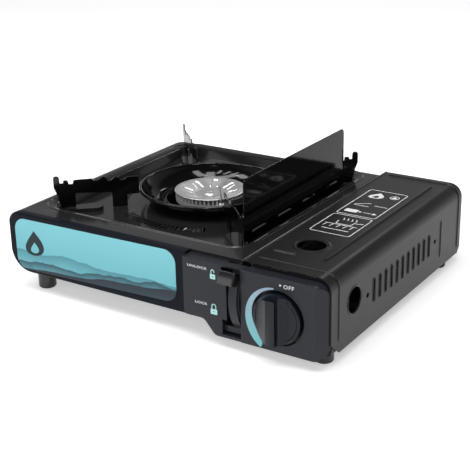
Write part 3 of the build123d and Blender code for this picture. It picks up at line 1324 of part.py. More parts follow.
def make_piezo_plunger():
    tip = spindle_point(CAM_RADIUS + PLUNGER_GAP, IGNITER_ANGLE, IGNITER_Y)
    end = spindle_point(IGNITER_NEAR + PLUNGER_DEPTH, IGNITER_ANGLE, IGNITER_Y)
    return rod(tip, end, PLUNGER_RADIUS)


def make_igniter_clip():
    half = IGNITER_CLIP_LENGTH / 2
    post = block(IGNITER_CLIP_X - half, IGNITER_CLIP_X + half,
                 CASE_FRONT + SHEET + SEAT_GAP, IGNITER_Y + IGNITER_RADIUS,
                 BAY_INSIDE + SEAT_GAP, CRADLE_TOP)
    near = spindle_point(0, IGNITER_ANGLE, IGNITER_Y)
    far = spindle_point(2 * IGNITER_FAR, IGNITER_ANGLE, IGNITER_Y)
    return post - rod(near, far, IGNITER_RADIUS + RUN_FIT)


def make_ignition_lead():
    """The lead from the igniter, along the case floor, up to the electrode."""
    start = spindle_point(IGNITER_FAR + SEAT_GAP, IGNITER_ANGLE, IGNITER_Y)
    low = BAY_INSIDE + LEAD_HEIGHT
    high = BURNER_INSIDE + LEAD_HEIGHT
    drop = (start[2] - low) / sin(radians(-180 - IGNITER_ANGLE))
    landing_x = start[0] + drop * cos(radians(-180 - IGNITER_ANGLE))
    riser_x, riser_y, top = tail_point(LEAD_SIDE)
    points = [
        start,
        (landing_x, IGNITER_Y, low),
        (STEP_END + LEAD_HEIGHT / 2, IGNITER_Y, low),
        (STEP_START + LEAD_HEIGHT / 2, IGNITER_Y, high),
        (LEAD_TURN_X, IGNITER_Y, high),
        (riser_x, LEAD_TURN_Y, high),
        (riser_x, riser_y, high),
        (riser_x, riser_y, top),
        tail_point(TAIL_LENGTH + SEAT_GAP),
    ]
    runs = [(Vector(*b) - Vector(*a)) for a, b in zip(points, points[1:])]
    radii = []
    for before, after in zip(runs, runs[1:]):
        turn = radians(before.get_angle(after))
        shorter = min(before.length, after.length)
        radii.append(LEAD_BEND * shorter / (sin(turn / 2) / cos(turn / 2)))
    print("lead radii", [round(radius, 1) for radius in radii])
    path = FilletPolyline(*points, radius=radii)
    lead = sweep(Plane(origin=start, z_dir=runs[0]) * Circle(LEAD_RADIUS), path=path)
    print("lead fill", round(lead.volume / (pi * LEAD_RADIUS ** 2 * path.length), 3))
    return lead


# ---------------------------------------------------------------------------
# pan support
# ---------------------------------------------------------------------------
def make_drip_bowl():
    roll_r = BOWL_RIM_RADIUS - BOWL_ROLL
    roll_z = BOWL_RIM_TOP - BOWL_ROLL
    low = SUPPORT_LOW
    bowl = turned([
        (BOWL_HOLE_RADIUS, low), (BOWL_FLOOR_RADIUS, low), (roll_r + BOWL_SHEET / 2, roll_z),
        (roll_r - BOWL_SHEET, roll_z), (BOWL_FLOOR_RADIUS - BOWL_SHEET / 2, low + BOWL_SHEET),
        (BOWL_HOLE_RADIUS + BOWL_SHEET, low + BOWL_SHEET),
        (BOWL_HOLE_RADIUS + BOWL_SHEET, low + BOWL_LIP), (BOWL_HOLE_RADIUS, low + BOWL_LIP),
    ])
    roll = revolve(Plane.XZ * disc(roll_r, roll_z, BOWL_ROLL), Axis.Z)
    return bowl + Pos(BURNER_X, BURNER_Y) * roll


def blade_face():
    """Side view of one blade: (radius from the burner, height)."""
    wing = BOWL_RIM_RADIUS + BLADE_GAP
    low = SUPPORT_LOW
    foot = PAD_TOP + REST_GAP
    stretch = (TIP_RADIUS - wing) / TEETH[-1][0]
    crest = [(wing + along * stretch, height, radius) for along, height, radius in TEETH]
    under = [
        (FOOT_OUTER, HEEL_Z), (FOOT_OUTER, foot), (FOOT_INNER, foot),
        (FOOT_INNER, BEAM_LOW_OUTER - BEAM_STEP), (FOOT_INNER - BEAM_STEP, BEAM_LOW_OUTER),
        (LEG_OUTER, BEAM_LOW_INNER), (LEG_OUTER, low), (LEG_INNER, low), (LEG_INNER, WING_LOW),
    ]
    tip = [(TIP_RADIUS, TIP_LOW), (TIP_RADIUS - ELBOW_FROM_TIP, ELBOW_Z)]
    face = outline([(wing, WING_LOW)] + [(x, z) for x, z, _ in crest] + tip + under)
    for x, z, radius in crest:
        if radius > 0:
            face = soften(face, (x, z), min(radius, TIP_ROUND_ROOM * stretch))
    for x, z in ((LEG_OUTER, low), (LEG_INNER, low), (LEG_OUTER, BEAM_LOW_INNER),
                 (FOOT_INNER, foot), (FOOT_OUTER, foot)):
        face = soften(face, (x, z), CORNER_SOFT)
    return face


def make_pan_blades():
    blade = along_y(blade_face(), -BLADE_THICK / 2, BLADE_THICK / 2)
    return several([Pos(BURNER_X, BURNER_Y) * Rot(0, 0, angle) * blade
                    for angle in blade_angles()])


def make_wind_shield():
    low = SUPPORT_LOW
    face = pane(SHIELD_FRONT, SHIELD_BACK, low, SHIELD_TOP)
    face = soften(face, (SHIELD_FRONT, SHIELD_TOP), SHIELD_CORNER)
    face = soften(face, (SHIELD_BACK, SHIELD_TOP), SHIELD_CORNER)
    middle = (SHIELD_FRONT + SHIELD_BACK) / 2
    slot_y = spaced(SHIELD_SLOTS, SHIELD_SLOT_PITCH, middle)
    for y in slot_y:
        face -= Pos(y, SHIELD_SLOT_Z) * Rectangle(SHIELD_SLOT_LENGTH, SHIELD_SLOT_HEIGHT)
    shield = along_x(face, SHIELD_X, SHIELD_X + SHIELD_THICK)
    shield += block(SHIELD_X, SHIELD_X + SHIELD_THICK + SHIELD_FOOT,
                    SHIELD_FRONT, SHIELD_BACK, low, low + SHIELD_THICK)
    for y in (SHIELD_FRONT, SHIELD_BACK - SHIELD_NOTCH):
        shield -= block(SHIELD_X, SHIELD_X + SHIELD_THICK + SHIELD_FOOT,
                        y, y + SHIELD_NOTCH, low, PAD_TOP + REST_GAP)
    tab_top = SHIELD_SLOT_Z - SHIELD_SLOT_HEIGHT / 2
    half = SHIELD_SLOT_LENGTH / 2
    for y in slot_y:
        shield += block(SHIELD_X - SHIELD_TAB, SHIELD_X + SHIELD_THICK / 2,
                        y - half, y + half, tab_top - SHIELD_THICK, tab_top)
    return shield


# ---------------------------------------------------------------------------
# lid and its hinge
# ---------------------------------------------------------------------------
def lid_arch(inset):
    """Top and right side of the lid as a solid section in (X, Z)."""
    face = pane(HINGE_X - 2 * HINGE_IN, WIDTH - inset, 0, LID_TOP - inset)
    return soften(face, (WIDTH - inset, LID_TOP - inset), LID_RADIUS - inset)


def arch_bead(front, back, left, low, proud):
    """A raised band over the lid's top and down its side."""
    band = along_y(lid_arch(-proud), front, back) - along_y(lid_arch(SHEET / 2), front, back)
    band &= block(left, WIDTH + 2 * proud, front, back, low, LID_TOP + 2 * proud)
    outside = band.faces().sort_by(Axis.Z)[-1]
    edges = [edge for edge in outside.edges() if abs(edge.tangent_at(0).X) > 1 / 2]
    return fillet(edges, proud / 2)


def top_bead(x0, x1, y0, y1):
    """A raised bead on the lid's flat top."""
    length, width = max(x1 - x0, y1 - y0), min(x1 - x0, y1 - y0)
    turn = 0 if x1 - x0 > y1 - y0 else 90
    slot = Pos((x0 + x1) / 2, (y0 + y1) / 2) * SlotOverall(length, width, rotation=turn)
    bead = along_z(slot, LID_TOP - SHEET / 2, LID_TOP + BEAD_PROUD)
    return fillet(bead.faces().sort_by(Axis.Z)[-1].edges(), BEAD_ROUND)


def side_bead(y0, y1, z0, z1):
    """A raised bead on the lid's flat side."""
    slot = Pos((y0 + y1) / 2, (z0 + z1) / 2) * SlotOverall(z1 - z0, y1 - y0, rotation=90)
    bead = along_x(slot, WIDTH - SHEET / 2, WIDTH + BEAD_PROUD)
    return fillet(bead.faces().sort_by(Axis.X)[-1].edges(), BEAD_ROUND)


def lid_form(inset):
    """The lid as a solid L-shaped cover, moved in by its sheet."""
    body = along_y(lid_arch(inset), LID_FRONT, DEPTH - inset)
    back = body.edges().filter_by(Axis.X).sort_by_distance((WIDTH, DEPTH, LID_TOP))[0]
    body = fillet(back, LID_REAR_RADIUS - inset)
    return body & block(LID_LEFT, WIDTH, LID_FRONT, DEPTH, BAY_FLOOR, LID_TOP)


def make_lid():
    lid = lid_form(0) - lid_form(SHEET)
    half = BEAD_WIDTH / 2
    lid += arch_bead(LID_FRONT, LID_FRONT + EDGE_ROLL_WIDTH, LID_LEFT,
                     BAY_FLOOR, BEAD_PROUD / 2)
    lid += arch_bead(ARCH_BEAD_Y - half, ARCH_BEAD_Y + half, ARCH_BEAD_LEFT,
                     ARCH_BEAD_LOW, BEAD_PROUD)
    lid += arch_bead(REAR_BEAD_Y - half, REAR_BEAD_Y + half, ARCH_BEAD_LEFT,
                     REAR_BEAD_LOW, BEAD_PROUD)
    lid += top_bead(LONG_BEAD_X - half, LONG_BEAD_X + half, LONG_BEAD_FRONT, LONG_BEAD_REAR)
    lid += top_bead(SHORT_BEAD_LEFT, SHORT_BEAD_RIGHT, SHORT_BEAD_Y - half, SHORT_BEAD_Y + half)
    lid += side_bead(SIDE_BEAD_Y - half, SIDE_BEAD_Y + half, SIDE_BEAD_LOW, SIDE_BEAD_HIGH)
    ring = along_z(disc(TOP_HOLE_X, TOP_HOLE_Y, TOP_RING_RADIUS),
                   LID_TOP - SHEET / 2, LID_TOP + BEAD_PROUD)
    lid += fillet(ring.faces().sort_by(Axis.Z)[-1].edges(), BEAD_ROUND)
    lid -= along_z(disc(TOP_HOLE_X, TOP_HOLE_Y, TOP_HOLE_RADIUS),
                   LID_TOP - 2 * SHEET, LID_TOP + 2 * BEAD_PROUD)
    cuts = disc(SIDE_HOLE_Y, SIDE_HOLE_Z, SIDE_HOLE_RADIUS)
    cuts += disc(PIP_HOLE_FRONT_Y, PIP_HOLE_Z, PIP_HOLE_RADIUS)
    cuts += disc(PIP_HOLE_REAR_Y, PIP_HOLE_Z, PIP_HOLE_RADIUS)
    slot_middle = (SIDE_SLOT_LOW + SIDE_SLOT_HIGH) / 2
    slot = SlotOverall(SIDE_SLOT_HIGH - SIDE_SLOT_LOW, SIDE_SLOT_WIDTH, rotation=90)
    for index in range(SIDE_SLOT_COUNT):
        cuts += Pos(SIDE_SLOT_START + index * SIDE_SLOT_PITCH, slot_middle) * slot
    cuts += outline([(0, 0), (LID_FRONT + LID_FRONT_CUT_Y, 0),
                     (LID_FRONT + LID_FRONT_CUT_Y, BAY_FLOOR),
                     (LID_FRONT, BAY_FLOOR + LID_FRONT_CUT_Z), (0, BAY_FLOOR + LID_FRONT_CUT_Z)])
    lid -= along_x(cuts, WIDTH - LID_RADIUS, WIDTH + 2 * BEAD_PROUD)
    rear_cut = outline([(DEPTH - LID_REAR_CUT, 0), (DEPTH - LID_REAR_CUT, BAY_FLOOR),
                        (DEPTH, BAY_FLOOR + LID_REAR_CUT), (DEPTH + CUT_MARGIN, 0)])
    lid -= along_x(rear_cut, LID_LEFT - CUT_MARGIN, WIDTH + 2 * BEAD_PROUD)
    for y in hinge_ear_places():
        lid += make_hinge_ear(y)
    return lid


def hinge_places():
    """Front side of each hinge bracket, and the way from it to its ear."""
    front = CASE_FRONT + SHEET + SEAT_GAP
    back = CASE_BACK - SHEET - SEAT_GAP - BRACKET_SHEET
    return (front, 1), (back, -1)


def hinge_ear_places():
    """Front side of each ear of the lid."""
    places = []
    for y, way in hinge_places():
        ear = y + BRACKET_SHEET + REST_GAP if way > 0 else y - REST_GAP - HINGE_EAR_THICK
        places.append(ear)
    return places


def make_hinge_ear(y):
    face = disc(HINGE_X, HINGE_Z, HINGE_EAR_RADIUS)
    face += pane(HINGE_X - HINGE_EAR_RADIUS, HINGE_X + HINGE_EAR_LENGTH,
                 HINGE_Z, LID_TOP - SHEET / 2)
    face -= disc(HINGE_X, HINGE_Z, HINGE_PIN_RADIUS + RUN_FIT)
    return along_y(face, y, y + HINGE_EAR_THICK)


def make_hinge_brackets():
    face = pane(HINGE_X - HINGE_BRACKET_LEFT, HINGE_X + HINGE_BRACKET_RIGHT,
                HINGE_BRACKET_LOW, HINGE_Z)
    face += disc(HINGE_X, HINGE_Z, HINGE_BRACKET_RADIUS)
    face -= disc(HINGE_X, HINGE_Z, HINGE_PIN_RADIUS + RUN_FIT)
    return several([along_y(face, y, y + BRACKET_SHEET) for y, _ in hinge_places()])


def make_hinge_pins():
    pins = []
    for y, way in hinge_places():
        middle = y + BRACKET_SHEET / 2
        start = middle - way * BRACKET_SHEET / 2
        neck = middle + way * (BRACKET_SHEET / 2 + 2 * REST_GAP + HINGE_EAR_THICK)
        end = neck + way * HINGE_HEAD_THICK
        pin = rod((HINGE_X, start, HINGE_Z), (HINGE_X, neck, HINGE_Z), HINGE_PIN_RADIUS)
        pins.append(pin + rod((HINGE_X, neck, HINGE_Z), (HINGE_X, end, HINGE_Z),
                              HINGE_HEAD_RADIUS))
    return several(pins)


# ---------------------------------------------------------------------------
# feet and screws
# ---------------------------------------------------------------------------
def make_feet(y):
    feet = []
    for x, floor in ((LEFT_FOOT_X, BURNER_FLOOR), (RIGHT_FOOT_X, BAY_FLOOR)):
        foot = along_z(disc(x, y, FOOT_RADIUS), 0, floor - SEAT_GAP)
        feet.append(fillet(foot.faces().sort_by(Axis.Z)[0].edges(), FOOT_EDGE))
    return several(feet)


def screw_places():
    """Position and floor height of each screw from below."""
    reach = CUP_BRACKET_TOP + CUP_BRACKET_FOOT / 2
    foot_y = BULKHEAD_Y + BULKHEAD_SHEET + BULKHEAD_FOOT / 2
    return [
        (BURNER_X - reach, BURNER_Y, BURNER_FLOOR),
        (BURNER_X + reach, BURNER_Y, BURNER_FLOOR),
        (KNOB_X - BULKHEAD_SCREW_OFFSET, foot_y, BAY_FLOOR),
        (KNOB_X + BULKHEAD_SCREW_OFFSET, foot_y, BAY_FLOOR),
    ]


def make_case_screws():
    screws = []
    for x, y, floor in screw_places():
        low = floor - SEAT_GAP - SCREW_HEAD_HEIGHT
        screw = along_z(disc(x, y, SCREW_HEAD_RADIUS), low, floor - SEAT_GAP)
        screw += along_z(disc(x, y, SCREW_RADIUS), low, floor + SHEET + SEAT_GAP + SHEET)
        screws.append(screw)
    return several(screws)


# ---------------------------------------------------------------------------
# write every node
# ---------------------------------------------------------------------------
NODES = {
    "bottom_case": make_bottom_case,
    "top_plate": make_top_plate,
    "front_panel": make_front_panel,
    "front_label": make_front_label,
    "control_housing": make_control_housing,
    "knob": make_knob,
    "valve_spindle": make_valve_spindle,
    "ignition_cam": make_ignition_cam,
    "lock_lever": make_lock_lever,
    "lever_pin": make_lever_pin,
    "lever_bracket": make_lever_bracket,
    "pusher_rod": make_pusher_rod,
    "pusher_plate": make_pusher_plate,
    "pusher_guides": make_pusher_guides,
    "cradle_rails": make_cradle_rails,
    "bulkhead": make_bulkhead,
    "heat_shield": make_heat_shield,
    "valve_body": make_valve_body,
    "diaphragm_cover": make_diaphragm_cover,
    "cover_screws": make_cover_screws,
    "cartridge_socket": make_cartridge_socket,
    "socket_seal": make_socket_seal,
    "gas_pipe": make_gas_pipe,
    "jet_nozzle": make_jet_nozzle,
    "mixing_tube": make_mixing_tube,
    "mixer_saddle": make_mixer_saddle,
    "burner_cup": make_burner_cup,
    "burner_bracket": make_burner_bracket,
    "burner_head": make_burner_head,
    "burner_cap": make_burner_cap,
    "electrode_ceramic": make_electrode_ceramic,
    "electrode_pin": make_electrode_pin,
    "electrode_bracket": make_electrode_bracket,
    "piezo_igniter": make_piezo_igniter,
    "piezo_plunger": make_piezo_plunger,
    "igniter_clip": make_igniter_clip,
    "ignition_lead": make_ignition_lead,
    "drip_bowl": make_drip_bowl,
    "pan_blades": make_pan_blades,
    "wind_shield": make_wind_shield,
    "lid": make_lid,
    "hinge_brackets": make_hinge_brackets,
    "hinge_pins": make_hinge_pins,
    "case_screws": make_case_screws,
}


def save(name, shape):
    """Write one node, moved so that the origin is under the stove's middle."""
    solids = shape.solids()
    moved = [Solid(solid.wrapped).moved(Pos(-ROW_MIDDLE_X, -ROW_MIDDLE_Y, 0)) for solid in solids]
    node = moved[0] if len(moved) == 1 else Compound(children=moved)
    export_step(node, os.path.join("parts", name + ".step"))


os.makedirs("parts", exist_ok=True)
for node_name, make in NODES.items():
    save(node_name, make())
save("front_feet", make_feet(FRONT_FOOT_Y))
save("rear_feet", make_feet(REAR_FOOT_Y))
print("hinge axis", round(HINGE_X - ROW_MIDDLE_X, 2), round(HINGE_Z, 2))
print("lever pivot", round(LEVER_PIVOT_Y - ROW_MIDDLE_Y, 2), LEVER_PIVOT_Z)
print("pusher travel", round(2 * STUD_OFFSET * sin(radians(LEVER_REST)), 3))
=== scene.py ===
# %% [markdown]
# # A portable butane stove, dressed for the light
#
# The stove's solids come from a CAD model, in metres, with the floor at z = 0.
# This lesson gives them their finishes, replaces the pieces that deserve finer
# surfaces than a CAD export has, and sets up a plain studio around them. Every
# piece ends up where the CAD says it is, so that knob, lever and lid keep working.

# %% Load the frame
import json
from math import cos, hypot, pi, radians, sin

import bmesh
import bpy
from mathutils import Matrix, Vector

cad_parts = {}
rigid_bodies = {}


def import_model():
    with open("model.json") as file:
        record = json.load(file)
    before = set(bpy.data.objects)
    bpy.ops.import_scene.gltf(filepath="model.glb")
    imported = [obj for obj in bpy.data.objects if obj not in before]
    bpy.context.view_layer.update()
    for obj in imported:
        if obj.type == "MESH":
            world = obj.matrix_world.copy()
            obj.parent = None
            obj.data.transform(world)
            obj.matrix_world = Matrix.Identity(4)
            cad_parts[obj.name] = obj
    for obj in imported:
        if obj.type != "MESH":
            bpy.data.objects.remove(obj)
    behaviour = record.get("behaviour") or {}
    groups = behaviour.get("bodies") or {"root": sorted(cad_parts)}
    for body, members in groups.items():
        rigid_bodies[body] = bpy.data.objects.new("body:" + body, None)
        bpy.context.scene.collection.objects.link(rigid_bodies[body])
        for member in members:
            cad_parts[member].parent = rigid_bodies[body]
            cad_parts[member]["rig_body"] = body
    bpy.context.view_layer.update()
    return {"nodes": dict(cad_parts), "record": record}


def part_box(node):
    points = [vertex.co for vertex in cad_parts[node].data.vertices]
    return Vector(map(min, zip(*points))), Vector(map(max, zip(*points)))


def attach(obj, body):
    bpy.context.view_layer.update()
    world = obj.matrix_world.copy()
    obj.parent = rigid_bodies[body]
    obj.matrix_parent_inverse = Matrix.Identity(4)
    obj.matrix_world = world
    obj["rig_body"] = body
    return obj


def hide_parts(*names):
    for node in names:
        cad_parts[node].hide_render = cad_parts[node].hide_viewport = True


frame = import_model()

nodes = frame["nodes"]

# %% [markdown]
# ## The drawing's own frame
#
# A stove like this is drawn from its left front corner, in millimetres. The frame
# is in metres about the stove's middle. Two small functions carry a point from the
# drawing to the frame and back, and every number below can then be a drawing size.

# %% From drawing sizes to the frame
MIDDLE_X, MIDDLE_Y = 171.45, 128.15
BURNER_X, BURNER_Y = 131.3, 145.6
KNOB_X, KNOB_Z = 298.8, 41.1
PLATE_FRONT, HOUSING_FRONT = -5.5, -6.7
LID_TOP = 80.2


def at(x, y, z):
    return Vector(((x - MIDDLE_X) / 1000, (y - MIDDLE_Y) / 1000, z / 1000))


def drawn(point):
    """The drawing's x, y and z of a point in the frame."""
    return point.x * 1000 + MIDDLE_X, point.y * 1000 + MIDDLE_Y, point.z * 1000


def put(name, data):
    """A new object in the scene."""
    made = bpy.data.objects.new(name, data)
    bpy.context.scene.collection.objects.link(made)
    return made


low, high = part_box("top_plate")
print("top plate from", [round(v, 4) for v in low], "to", [round(v, 4) for v in high])

# %% [markdown]
# ## Camera
#
# The camera stands to the right of the front, a little above the stove, with a
# long lens, so that the lid side, the controls and the burner all show. Its
# directions are built from a turn, a tilt and a very small roll, because a matrix
# of three directions says exactly where each side of the picture points.

# %% Camera
PAN, TILT, LEAN = radians(32.59), radians(20.88), radians(-0.967)
CAMERA_PLACE = at(718.4, -707.1, 431.9)
SENSOR, LENS, NEAREST = 36.0, 85.29, 0.01
SHIFT_X, SHIFT_Y = -0.02545, -0.01638

forward = Vector((-cos(TILT) * sin(PAN), cos(TILT) * cos(PAN), -sin(TILT)))
level_right = forward.cross(Vector((0, 0, 1))).normalized()
level_up = level_right.cross(forward)
right = level_right * cos(LEAN) + level_up * sin(LEAN)
up = level_up * cos(LEAN) - level_right * sin(LEAN)

camera = put("studio_camera", bpy.data.cameras.new("studio_camera"))
view = camera.data
view.sensor_width, view.lens, view.clip_start = SENSOR, LENS, NEAREST
view.shift_x, view.shift_y = SHIFT_X, SHIFT_Y
camera.matrix_world = Matrix.Translation(CAMERA_PLACE) @ Matrix(
    (right, up, -forward)).transposed().to_4x4()
bpy.context.scene.camera = camera
print("camera at", [round(v, 3) for v in camera.matrix_world.translation])

# %% [markdown]
# ## Studio
#
# Black enamel shows little colour of its own and is read by what it reflects. So
# the room has structure: a white wall that fades upward to a dark ceiling, a white
# floor that keeps the soft shadow, and large lamps whose edges draw long highlights
# on bent sheet.


# %% Small helpers for nodes
def shader_node(tree, kind, settings=(), **values):
    made = tree.nodes.new(kind)
    for key, value in dict(settings).items():
        setattr(made, key, value)
    for key, value in values.items():
        made.inputs[key.replace("_", " ")].default_value = value
    return made


def maths(tree, operation, *terms, clamp=False):
    """A Math node whose terms are numbers or (node, output) pairs."""
    made = tree.nodes.new("ShaderNodeMath")
    made.operation, made.use_clamp = operation, clamp
    for entry, term in enumerate(terms):
        if isinstance(term, tuple):
            tree.links.new(term[0].outputs[term[1]], made.inputs[entry])
        else:
            made.inputs[entry].default_value = term
    return made


def wire(tree, *links):
    """Join nodes; a link is (source, its output, target, its input)."""
    for source, output, target, entry in links:
        tree.links.new(source.outputs[output], target.inputs[entry])


def mirror_rays(tree, rays):
    """1 for a ray that left a mirror or went through glass."""
    return maths(tree, "MAXIMUM", (rays, "Is Glossy Ray"), (rays, "Is Transmission Ray"))


def new_material(name, specular):
    """A material, its nodes, its shader and the node that says where a point is."""
    made = bpy.data.materials.new(name)
    made.use_nodes = True
    tree = made.node_tree
    shader = tree.nodes["Principled BSDF"]
    shader.inputs["Specular IOR Level"].default_value = specular
    return made, tree, shader, shader_node(tree, "ShaderNodeTexCoord")


def uneven_sheen(tree, place, shader, scale, low_roughness, high_roughness):
    """Roughness that wanders between two values over the surface."""
    patches = shader_node(tree, "ShaderNodeTexNoise", Scale=scale, Detail=2.0)
    sheen = shader_node(tree, "ShaderNodeMapRange", To_Min=low_roughness,
                        To_Max=high_roughness)
    wire(tree, (place, "Object", patches, "Vector"), (patches, 0, sheen, "Value"),
         (sheen, 0, shader, "Roughness"))


print("node helpers ready")

# %% World
world = bpy.data.worlds.new("studio_world")
bpy.context.scene.world = world
world.use_nodes = True
sky = world.node_tree
sky.nodes.clear()
direction = shader_node(sky, "ShaderNodeTexCoord")
rise = shader_node(sky, "ShaderNodeSeparateXYZ")
room_tone = shader_node(sky, "ShaderNodeValToRGB")
tones = room_tone.color_ramp
tones.interpolation = "EASE"
tones.elements[0].position, tones.elements[0].color = 0.06, (0.95, 0.97, 1.0, 1)
tones.elements[1].position, tones.elements[1].color = 0.62, (0.05, 0.05, 0.055, 1)
for place, tone in ((0.2, 0.34), (0.45, 0.26)):
    stop = tones.elements.new(place)
    stop.color = (tone, tone, tone * 1.02, 1)
wall_part = shader_node(sky, "ShaderNodeMapRange", {"interpolation_type": "SMOOTHSTEP"},
                        From_Min=0.07, From_Max=0.2, To_Min=1.0, To_Max=0.0)
sky_rays = shader_node(sky, "ShaderNodeLightPath")
mirrored_wall = maths(sky, "MULTIPLY", (mirror_rays(sky, sky_rays), 0), (wall_part, 0))
white_part = maths(sky, "MAXIMUM", (sky_rays, "Is Camera Ray"), (mirrored_wall, 0))
room_light = shader_node(sky, "ShaderNodeBackground", Strength=1.0)
white_wall = shader_node(sky, "ShaderNodeBackground", Color=(1, 1, 1, 1), Strength=1.0)
wall_choice = shader_node(sky, "ShaderNodeMixShader")
sky_out = shader_node(sky, "ShaderNodeOutputWorld")
wire(sky, (direction, "Generated", rise, 0), (rise, "Z", room_tone, 0),
     (rise, "Z", wall_part, "Value"), (room_tone, 0, room_light, 0),
     (white_part, 0, wall_choice, 0), (room_light, 0, wall_choice, 1),
     (white_wall, 0, wall_choice, 2), (wall_choice, 0, sky_out, 0))
print("world: a white wall all round, under a dim ceiling")

# %% [markdown]
# The floor is white card. The camera, and any mirror or glass, sees it brighter
# than the lamps make it, so it runs into the white wall without a line, and only
# the shade under the stove is left of it.

# %% Floor
bpy.context.scene.view_settings.view_transform = "Standard"
FLOOR_HALF = 9
floor_mesh = bpy.data.meshes.new("floor_card")
floor_mesh.from_pydata([(x * FLOOR_HALF, y * FLOOR_HALF, 0)
                        for x, y in ((-1, -1), (1, -1), (1, 1), (-1, 1))], [], [(0, 1, 2, 3)])
floor_card = put("floor_card", floor_mesh)
floor_paint, card, card_shader, card_place = new_material("floor_paint", 0.1)
card_shader.inputs["Base Color"].default_value = (0.83, 0.83, 0.84, 1)
uneven_sheen(card, card_place, card_shader, 60.0, 0.86, 0.94)
card_rays = shader_node(card, "ShaderNodeLightPath")
card_seen = maths(card, "MAXIMUM", (card_rays, "Is Camera Ray"),
                  (mirror_rays(card, card_rays), 0))
card_glow = shader_node(card, "ShaderNodeEmission", Color=(1, 1, 1, 1), Strength=0.46)
card_sum = shader_node(card, "ShaderNodeAddShader")
card_pick = shader_node(card, "ShaderNodeMixShader")
wire(card, (card_shader, 0, card_sum, 0), (card_glow, 0, card_sum, 1),
     (card_seen, 0, card_pick, 0), (card_shader, 0, card_pick, 1), (card_sum, 0, card_pick, 2),
     (card_pick, 0, card.nodes["Material Output"], 0))
floor_mesh.materials.append(floor_paint)
print("floor card laid")

# %% [markdown]
# The lamps are large and soft. What one adds to a black surface is mostly its own
# mirror image, so its place and shape matter more than its power: three wide strips
# overhead light the top evenly, three narrow bars in front draw bright lines in the
# bent sheet, and a long low lamp on the left lifts the front.


# %% Lamps
def soft_lamp(name, place, aim, size, watts):
    data = bpy.data.lights.new(name, "AREA")
    data.shape = "RECTANGLE"
    data.size, data.size_y = size
    data.energy = watts
    lamp = put(name, data)
    lamp.location = place
    lamp.rotation_euler = (Vector(aim) - Vector(place)).to_track_quat("-Z", "Y").to_euler()


STOVE_HEART = (0, 0, 0.05)
for number, across in enumerate((-1.0, 0.0, 1.0), 1):
    soft_lamp(f"overhead_strip_{number}", (0.3 + across, -0.5, 3.0), (0.3 * across, 0, 0),
              (0.55, 1.9), 21)
for number, across in enumerate((-0.84, -0.35, 0.14), 1):
    soft_lamp(f"front_bar_{number}", (across, -1.25, 2.28), STOVE_HEART, (0.13, 0.8), 3.2)
soft_lamp("low_left_wall", (-1.2, -1.75, 0.55), STOVE_HEART, (2.2, 0.5), 6)
soft_lamp("high_left_box", (-1.1, -0.6, 1.8), STOVE_HEART, (0.7, 0.5), 7)
soft_lamp("right_strip", (0.75, -1.62, 1.1), STOVE_HEART, (0.25, 0.6), 4)
soft_lamp("rear_box", (-0.28, 1.75, 1.4), STOVE_HEART, (0.4, 0.25), 2)
print("lamps placed:", len(bpy.data.lights))

# %% [markdown]
# ## Finishes
#
# Each finish is one Principled shader with two quiet noises: a slow one that
# shifts the colour and the roughness a little, and a fine one as bump. Powder coat
# has an orange-peel skin, moulded plastic a fine spark grain, enamel a slow
# waviness, and plated metal a grain drawn out one way.


# %% The common finish
finishes = {}


def new_finish(name, colour, roughness, metallic=0.0, patch=30.0, shift=0.06, uneven=0.03,
               grain=900.0, relief=0.00003, stretch=(1, 1, 1), specular=0.5):
    finish, tree, shader, place = new_material(name, specular)
    shader.inputs["Metallic"].default_value = metallic
    stretched = shader_node(tree, "ShaderNodeMapping", Scale=stretch)
    slow = shader_node(tree, "ShaderNodeTexNoise", Scale=patch, Detail=3.0)
    fine = shader_node(tree, "ShaderNodeTexNoise", Scale=grain, Detail=2.0)
    tint = shader_node(tree, "ShaderNodeMix", {"data_type": "RGBA"})
    tint.inputs["A"].default_value = [c * (1 - shift) for c in colour] + [1]
    tint.inputs["B"].default_value = [min(1, c * (1 + shift)) for c in colour] + [1]
    rough = shader_node(tree, "ShaderNodeMapRange",
                        To_Min=roughness - uneven, To_Max=roughness + uneven)
    bump = shader_node(tree, "ShaderNodeBump", Strength=1.0, Distance=relief)
    wire(tree, (place, "Object", stretched, "Vector"), (stretched, 0, slow, "Vector"),
         (stretched, 0, fine, "Vector"), (slow, 0, tint, "Factor"),
         (tint, "Result", shader, "Base Color"), (slow, 0, rough, "Value"),
         (rough, 0, shader, "Roughness"), (fine, 0, bump, "Height"),
         (bump, 0, shader, "Normal"))
    finishes[name] = finish


print("one recipe for every finish")

# %% Paint and enamel on sheet
new_finish("enamelled_plate", (0.016, 0.016, 0.0155), 0.15, grain=260, relief=0.000012,
           patch=18, shift=0.12)
new_finish("painted_lid", (0.014, 0.014, 0.0135), 0.32, grain=1400, relief=0.00002,
           patch=18, shift=0.12, uneven=0.04, specular=0.22)
new_finish("painted_case", (0.016, 0.016, 0.0155), 0.42, grain=1400, relief=0.00002,
           patch=18, shift=0.12, uneven=0.04, specular=0.22)
new_finish("black_enamel", (0.003, 0.003, 0.0034), 0.09, grain=160, relief=0.00001,
           patch=60, shift=0.2, specular=0.4)
new_finish("shield_enamel", (0.0015, 0.0015, 0.0016), 0.09, grain=220, relief=0.000004,
           patch=14, shift=0.2, uneven=0.02, specular=0.22)
finishes["painted_plate"] = finishes["painted_lid"]
print("sheet finishes:", ", ".join(finishes))

